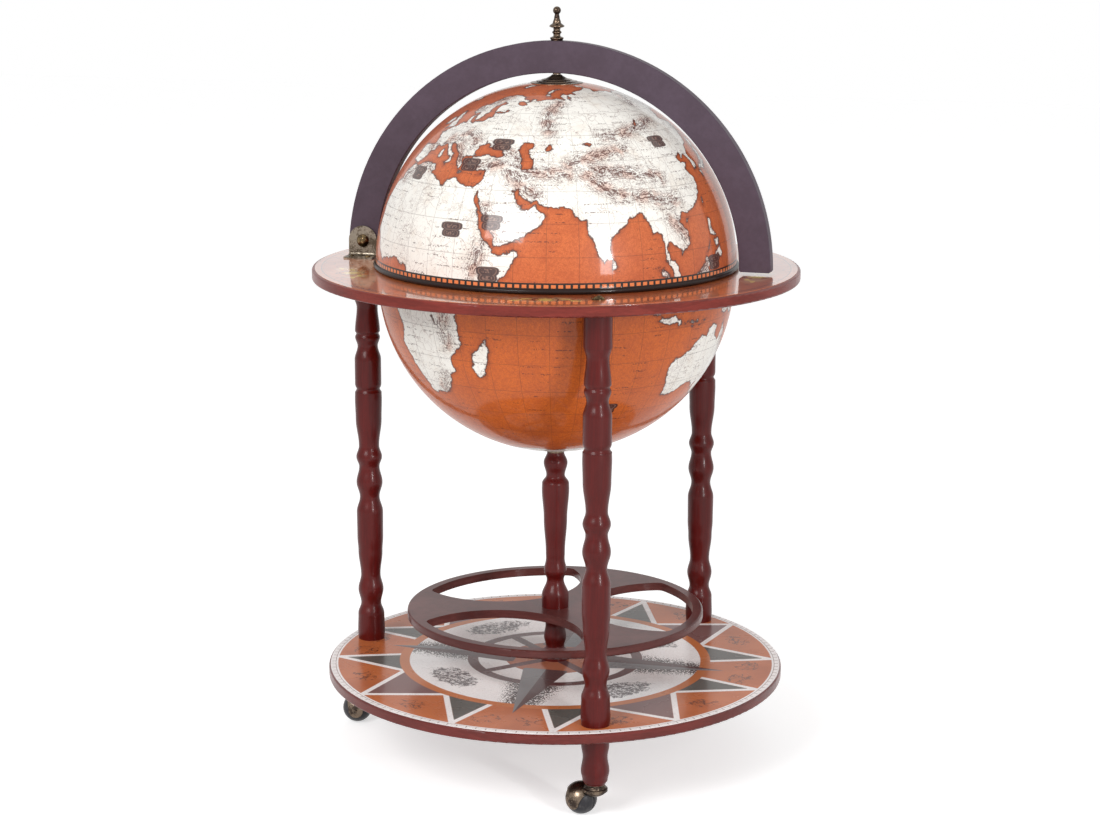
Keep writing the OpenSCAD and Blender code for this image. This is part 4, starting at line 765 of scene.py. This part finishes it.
# ---- Legs and feet --------------------------------------------------------
# Beech turned on a lathe into beads, coves and long vases, stained a dark
# red-brown and sprayed with gloss lacquer. Bolts come down through the ring,
# studs join legs to feet through the shelf.
def turning(name, outline, bottom, length, scale, bore, place=(0, 0)):
    """A turned piece on an upright axis: each stretch between two stations
    (height, radius) of the outline, in mm, is half a cosine wave in radius,
    and the profile is revolved. Ends are flat, down to the bore."""
    z, r = np.array(outline, dtype=float).T
    finest, columns = 1.3, 96
    shares = [np.linspace(0, 1, max(2, math.ceil(gap / finest) + 1))[:-1] for gap in np.diff(z)]
    heights = [z[i] + (z[i + 1] - z[i]) * u for i, u in enumerate(shares)]
    radii = [r[i] + (r[i + 1] - r[i]) * (1 - np.cos(np.pi * u)) / 2 for i, u in enumerate(shares)]
    heights = bottom + np.concatenate([[0], *heights, z[-1:], z[-1:]]) * length / z[-1]
    radii = np.concatenate([*radii, r[-1:]]) * scale / 1000
    radii = np.concatenate([[bore], radii, [bore]])
    piece = surface(name, revolve(radii, heights, columns, place), "stand", lacquered)
    return piece


lacquered = board("lacquered_beech", (0.106, 0.0055, 0.0045), (0.032, 0.0022, 0.002), (7, 7, 0.4), 0.3,
                  bump=0.00006, coat=(0.16, 0.13), gleam=0.17, figure=0.5, pores=0.08)
leg_outline = [
    (0, 15.3), (10, 16), (32, 15.4), (46, 11.8), (63.5, 14.8), (82, 11.5), (112, 14.2), (131, 15.2),
    (162, 15.4), (181, 11.5), (199.5, 15.2), (219, 11.9), (231.3, 15), (245, 11.8), (279, 15.1),
    (304, 15.7), (312.5, 15.5), (312.5, 14.9), (316.4, 13.4), (320, 14.9), (322, 15.3), (352.8, 15.3),
    (369.5, 11.7), (380.5, 14.4), (385, 12.9), (387.6, 14.4), (417, 12.1), (428.4, 14.5), (428.4, 15.1),
    (468.9, 15.1)]
foot_outline = [(0, 11.5), (4, 13.6), (14.8, 15.4), (31.8, 13.4), (45, 15.1), (56.9, 15.5)]
leg_circle, leg_scale = 0.241803, 33.5 / 32
shelf_top, leg_length = 0.1095, 0.4689
foot_bottom, foot_length = 0.04, 0.0569
rod_bore, cup_bore = 0.0041, 0.0047
for i, turn in enumerate((177.5, 297.5, 417.5), 1):
    place = (leg_circle * math.cos(math.radians(turn)), leg_circle * math.sin(math.radians(turn)))
    leg = turning(f"leg_turning_{i}", leg_outline, shelf_top, leg_length, leg_scale, rod_bore, place)
    foot = turning(f"foot_turning_{i}", foot_outline, foot_bottom, foot_length, leg_scale, cup_bore, place)
    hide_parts(f"leg_{i}")
    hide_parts(f"foot_{i}")
dress(zinc, "leg_bolts", "foot_studs")
dress(rubbed_brass, "bolt_caps")


# ---- Centre post and bottle ring ------------------------------------------
# The post is turned like the legs, in two lengths that hold the bottle ring
# between them; a steel rod with a nut and a plate at each end draws shelf,
# post and globe together, with a dark washer under the globe.
upper_outline = [
    (0, 15.1), (14, 15.3), (33.7, 9.6), (45, 12.9), (60, 10.6), (67.4, 10.8), (110, 13.2), (146, 15.4),
    (153, 15.2), (163, 10.4), (178.6, 13.4), (191.5, 9.5)]
lower_outline = [(0, 15.8), (8, 15.8), (16, 10.5), (27.5, 12.7), (43, 10.9), (52, 15), (55.5, 15)]
ring_top, post_scale = 0.175, 33 / 31
for name, outline, bottom in (
        ("post_upper", upper_outline, ring_top), ("post_lower", lower_outline, shelf_top)):
    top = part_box(name)[1][2]
    post = turning(name + "_turning", outline, bottom, top - bottom, post_scale, rod_bore)
    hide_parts(name)
dress(zinc, "post_rod", "post_nuts")
dark_bronze = brass("dark_bronze", (0.19, 0.135, 0.095), (0.06, 0.042, 0.032), 0.5, 0.00005, metallic=0.9)
dress(dark_bronze, "post_washer")
ring_stain = board("ring_stain", (0.13, 0.038, 0.034), (0.06, 0.016, 0.015), (1.4, 1.4, 10), 0.26,
                   coat=(0.2, 0.1), gleam=0.08)
dress(ring_stain, "bottle_ring")


# ---- Shelf ----------------------------------------------------------------
# The same board as the ring above, without a hole, and its own print: a wind
# rose on orange paper with a ticked border, dark points edged in white, and a
# white heart with four long rays and a spoked wheel.
# Its stain is a darker copy of the ring's mahogany on the same board: painted shade, not a different wood.
shelf_mahogany_painted_shade = board("shelf_mahogany_painted_shade", (0.17, 0.028, 0.023), (0.08, 0.014, 0.011), (2, 2, 14), 0.24,
                       coat=(0.2, 0.1), gleam=0.15)
dress(shelf_mahogany_painted_shade, "shelf")


def triangle(x, y, *corners):
    """The least distance to the sides of a triangle, positive inside. The
    corners are (radius, degrees) and go round anticlockwise."""
    at = [(r * math.cos(math.radians(a)), r * math.sin(math.radians(a))) for r, a in corners]
    return np.minimum.reduce([
        ((q[0] - p[0]) * (y - p[1]) - (q[1] - p[1]) * (x - p[0])) / math.dist(p, q)
        for p, q in zip(at, at[1:] + at[:1])])


def rose_fields(r, a):
    """Distances in mm, positive inside. x and y are along and across the
    nearest of four axes, u and v the same for the four diagonals, with the
    two sides of each folded together."""
    a = a - 3.3
    axis, diagonal = np.radians((a + 45) % 90 - 45), np.radians(a % 90 - 45)
    x, y = r * np.cos(axis), r * np.sin(axis)
    u, v = r * np.cos(diagonal), np.abs(r * np.sin(diagonal))
    patches = np.hypot((x - 231) / 16, (np.abs(y) - 25) / 19), np.hypot((u - 229) / 14, (v - 59) / 21)
    return {
        "green": triangle(x, np.abs(y), (180, 9.4), (262, 12.8), (180, 31.6)),
        "purple": triangle(u, v, (180, -18), (262, 0), (180, 18)),
        "ray": np.minimum((208 - x) * 0.172 - np.abs(y), x - 46),
        "hand": y,
        "spoke": 6 - v,
        "patch": 14 * (1 - np.minimum(*patches)),
        "plate": 22 * (1 - np.hypot((u - 140) / 24, v / 42))}


def between(value, low, high, soft=0.5):
    """1 where value is from low to high."""
    return fade(value, low - soft, low + soft) * fade(value, high - soft, high + soft, 1.0, 0.0)


def shown(value):
    """1 where a signed distance is positive."""
    return fade(value, -0.5, 0.5)


# The rose: dark points on a mottled orange ground with scribbled patches, the
# white heart with its stippled rays and sketched plates, the wheel, the long
# rays with a light and a dark side, and the border.
rose, inks, where = group("rose_print", {
    "Green": -9.0, "Purple": -9.0, "Ray": -9.0, "Hand": 0.0, "Spoke": -9.0, "Patch": -9.0, "Plate": -9.0,
    "Ground": (0.56, 0.16, 0.05, 1), "White": (0.93, 0.895, 0.885, 1), "Dusk": (0.13, 0.055, 0.055, 1)})
x, y = parts(where)[:2]
radius = (x * x + y * y).calc("SQRT") * 1000.0
turn = y.calc("ARCTAN2", x).calc("DEGREES")
cloud = noise(where, 13.0, 4.0, 0.6)
grain = noise(where, 430.0)
dots = cells(where, 500.0, "F1")

colour = paint(fade(cloud, 0.35, 0.7), inks["Ground"], (0.44, 0.115, 0.036, 1))
bold_pen = thread(noise(where, 36.0, 2.0, 0.5, 0.6), 0.022)
scribble = greatest(thread(noise(where, 62.0, 3.0, 0.6), 0.03), bold_pen)
colour = paint(scribble * fade(inks["Patch"], 0.0, 2.0) * 0.9, colour, (0.05, 0.016, 0.012, 1))
white_edge = 3.4
edges = [between(inks[point], -white_edge, white_edge) for point in ("Green", "Purple")]
colour = paint(greatest(*edges), colour, inks["White"])
for point, ink in (("Green", (0.105, 0.1, 0.09, 1)), ("Purple", (0.2, 0.1, 0.095, 1))):
    colour = paint(shown(inks[point] - white_edge), colour, ink)
colour = paint(fade(radius, 187.5, 188.5, 1.0, 0.0), colour, (0.55, 0.17, 0.055, 1))

stipple = fade(inks["Ray"], -34.0, 0.0, 0.0, 0.68) * fade(radius, 104.0, 108.0)
stipple = fade(stipple - dots, -0.04, 0.04)
heart = paint(stipple * 0.95, inks["White"], (0.05, 0.032, 0.032, 1))
sketch = fade(noise(where, 75.0, 5.0, 0.8) * 40.0 + (inks["Plate"] - 20.5), 0.0, 2.0)
sketch = sketch * fade(noise(where, 260.0, 3.0, 0.7), 0.44, 0.52, 0.2, 1.0)
heart = paint(sketch * 0.9, heart, (0.06, 0.04, 0.045, 1))
colour = paint(fade(radius, 175.6, 176.4, 1.0, 0.0), colour, heart)

spokes = shown(inks["Spoke"]) * fade(radius, 99.0, 100.0, 1.0, 0.0)
colour = paint(fade(radius, 59.5, 60.5, 1.0, 0.0), colour, (0.42, 0.14, 0.075, 1))
colour = paint(greatest(between(radius, 93.0, 106.0), spokes), colour, inks["Dusk"])
ray = paint(shown(inks["Hand"]), (0.22, 0.21, 0.215, 1), (0.11, 0.06, 0.06, 1))
colour = paint(shown(inks["Ray"]), colour, ray)

ticks = near_line(turn, 2.5, 0.12, 0.05) * between(radius, 265.0, 269.5, 0.2)
border = greatest(ticks * 0.7, between(radius, 264.4, 265.0, 0.2))
border = paint(border, inks["White"], (0.2, 0.1, 0.08, 1))
colour = paint(fade(radius, 261.6, 262.4), colour, border)
colour = paint(fade(grain, 0.45, 0.8, 0.0, 0.25), colour, (0.3, 0.14, 0.09, 1))
give(rose, colour, cloud * 0.15 + 0.2, grain)

rose_paper = finish(
    "rose_paper", rose,
    {word: word.lower() for word in ("Green", "Purple", "Ray", "Hand", "Spoke", "Patch", "Plate")},
    bump=0.00004, Coat_Weight=0.2, Coat_Roughness=0.1, Specular_IOR_Level=0.1)
rod_hole = 0.0042
edge, _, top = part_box("shelf_print")[1]
rose_sheet = polar_sheet("rose_sheet", rod_hole, edge, 62, top, rose_paper, rose_fields)
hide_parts("shelf_print")


# ---- Lid: meridian, finial and rod ----------------------------------------
# Half a ring sawn from plywood, its edges chamfered and the whole stained and
# left dull. A steel rod goes down through its top, with a brass finial screwed
# on above and a nut inside the globe; the hemisphere hangs and turns on it.
plywood = board("dull_plywood", (0.074, 0.048, 0.07), (0.046, 0.028, 0.04), (3, 1, 3), 0.45,
                gleam=0.3, figure=0.5, pores=0.12)
dress(plywood, "meridian_arch")

# The finial: half a cosine wave in radius between stations (height, radius)
# in mm, then a ball. The profile is revolved, and its foot has a bore.
finial_outline = [
    (0, 6.8), (3, 7.9), (5.4, 4.1), (7, 4.1), (9.4, 5.5), (12, 3.9), (13.4, 4.1), (16.2, 8.8),
    (20.6, 4.7), (26, 3.2), (30.2, 2.5)]
ball_radius, ball_height, finial_bore = 4.6, 34.2, 2.6
finial_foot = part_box("finial")[0][2]
z, r = np.array(finial_outline).T
rows = np.linspace(0, z[-1], 90)
span = np.clip(np.searchsorted(z, rows, side="right") - 1, 0, len(z) - 2)
ease = (1 - np.cos(np.pi * (rows - z[span]) / (z[span + 1] - z[span]))) / 2
tilt = np.linspace(math.asin(r[-1] / ball_radius), math.pi, 26)[1:]
radii = [[finial_bore], r[span] + (r[span + 1] - r[span]) * ease, ball_radius * np.sin(tilt)]
heights = [[0.0], rows, ball_height - ball_radius * np.cos(tilt)]
points = revolve(np.concatenate(radii) / 1000, np.concatenate(heights) / 1000 + finial_foot, 64)
tarnished_brass = brass("tarnished_brass", (0.14, 0.1, 0.07), (0.032, 0.022, 0.018), 0.46, 0.00004,
                        speck=0.6, polish=0.18)
knob = surface("finial_turning", points, "lid", tarnished_brass, loop=False)
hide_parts("finial")
dress(zinc, "lid_rod", "rod_nut")
dress(dark_bronze, "spacer_collar")


# ---- Upper hemisphere -----------------------------------------------------
# The northern half of the globe, printed and lined like the lower one, with a
# chequered band above a near-black half-round moulding. A spun bronze cap and
# a wooden pad inside hold it on the rod.
dome_centre, dome_turn = 0.5944, -136.3
dome_outer, dome_inner = 0.2108, 0.2073
north_map = finish(
    "northern_map", chart,
    {"Coast": "coast", "Uplands": "uplands", "Plaque": "plaque", "Centre": (0, 0, dome_centre),
     "Turn": dome_turn, "Band": 5.4, "Sea": (0.62, 0.152, 0.043, 1)},
    bump=0.0001, Coat_Weight=0.55, Coat_Roughness=0.07, Specular_IOR_Level=0.15)
north_plaques = [
    (28, 17, 4.6), (42, 20, 4.2), (42, 4.5, 4.4), (28, 38, 4.0), (39, 46, 4.2), (2, 33, 4.2), (113, 46, 4.2),
    (121, 5, 4.2), (-50, 30, 4.4), (-30, 12, 4.4), (-135, 30, 4.6), (-100, 42, 4.4), (-120, 8, 4.4),
    (-160, 45, 4.4)]
dome_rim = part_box("dome")[0][2]
globe_top = hemisphere("globe_top", dome_centre, dome_outer, dome_inner, dome_rim, 1, dome_turn,
                       north_plaques, "dome", (north_map, lining))
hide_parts("dome")
ebonised = board("ebonised_moulding", (0.022, 0.012, 0.01), (0.01, 0.007, 0.006), (2, 2, 20), 0.28,
                 bump=0.00008, coat=(0.22, 0.08), gleam=0.08)
dress(ebonised, "dome_rim")
dress(dark_bronze, "pole_cap")
dress(birch, "pole_pad")


# ---- Casters --------------------------------------------------------------
# Ball casters: a ferrule in the foot, a bronzed hood on a swivel stem, and a
# grey nylon ball in two halves on a riveted axle.
aged_bronze = brass("aged_bronze", (0.2, 0.15, 0.11), (0.05, 0.037, 0.03), 0.46, 0.00006)
nylon, tones, where = group("moulded_nylon", {
    "Tone": (0.022, 0.021, 0.025, 1), "Scuff": (0.06, 0.056, 0.058, 1)})
scuffs = noise(where, 120.0, 5.0, 0.7)
colour = paint(fade(scuffs, 0.5, 0.72), tones["Tone"], tones["Scuff"])
give(nylon, colour, scuffs * 0.3 + 0.25, noise(where, 700.0))
wheel_nylon = finish("wheel_nylon", nylon, {}, bump=0.00005, Specular_IOR_Level=0.3)
for i in (1, 2, 3):
    dress(aged_bronze, f"caster_cup_{i}", f"caster_hood_{i}", f"caster_axle_{i}")
    dress(wheel_nylon, f"caster_wheel_{i}")


# ---- Camera, floor and light ----------------------------------------------
# A studio view: the camera stands in front, a little towards the meridian's
# free end and a little higher than the finial, and looks gently down.
camera_place = (0.8121, -2.7068, 1.0334)
heading, tilt, roll = 16.839, 77.648, 0.14
camera_data = bpy.data.cameras.new("camera")
camera_data.lens = 79.8
camera = bpy.data.objects.new("camera", camera_data)
bpy.context.scene.collection.objects.link(camera)
camera.matrix_world = (
    Matrix.Translation(camera_place)
    @ Matrix.Rotation(math.radians(heading), 4, "Z")
    @ Matrix.Rotation(math.radians(tilt), 4, "X")
    @ Matrix.Rotation(math.radians(roll), 4, "Z"))
bpy.context.scene.camera = camera
bpy.context.scene.view_settings.view_transform = "Standard"


def backdrop(tree, seen, unseen):
    """A strength: seen where the camera, a gloss or a glass looks at it, and
    unseen where it only lights the object."""
    rays = tree.nodes.new("ShaderNodeLightPath").outputs
    direct = greatest(*(Wire(rays[f"Is {kind} Ray"]) for kind in ("Camera", "Glossy", "Transmission")))
    return direct * (seen - unseen) + unseen


world = bpy.data.worlds.new("studio")
bpy.context.scene.world = world
world.use_nodes = True
fill(world.node_tree.nodes["Background"].inputs, Color=(1, 1, 1, 1),
     Strength=backdrop(world.node_tree, 1.0, 0.5))

reach = np.linspace(-9, 9, 2)
x, y = np.meshgrid(reach, reach, indexing="ij")
floor_mesh = bpy.data.meshes.new("floor")
floor_mesh.from_pydata(np.stack([x, y, 0 * x], -1).reshape(-1, 3).tolist(), [], [(0, 2, 3, 1)])
floor = bpy.data.objects.new("floor", floor_mesh)
bpy.context.scene.collection.objects.link(floor)
pale = bpy.data.materials.new("studio_floor")
pale.use_nodes = True
fill(pale.node_tree.nodes["Principled BSDF"].inputs, Base_Color=(0.8, 0.8, 0.8, 1), Roughness=0.9,
     Emission_Color=(1, 1, 1, 1), Emission_Strength=backdrop(pale.node_tree, 0.55, 0.0))
floor_mesh.materials.append(pale)


def softbox(name, place, width, height, power):
    """A rectangular lamp at place, facing the middle of the stand."""
    data = bpy.data.lights.new(name, "AREA")
    data.shape = "RECTANGLE"
    data.size, data.size_y, data.energy = width, height, power
    lamp = bpy.data.objects.new(name, data)
    bpy.context.scene.collection.objects.link(lamp)
    middle_height = 0.5
    away = Vector(place) - Vector((0, 0, middle_height))
    lamp.matrix_world = Matrix.Translation(place) @ away.to_track_quat("Z", "Y").to_matrix().to_4x4()


softbox("key", (-0.9, -2.9, 2.3), 1.5, 1.2, 62)
softbox("fill", (2.4, -2.2, 1.35), 0.5, 1.5, 30)
softbox("bulb", (2.4, -2.05, 1.18), 0.09, 0.16, 12)
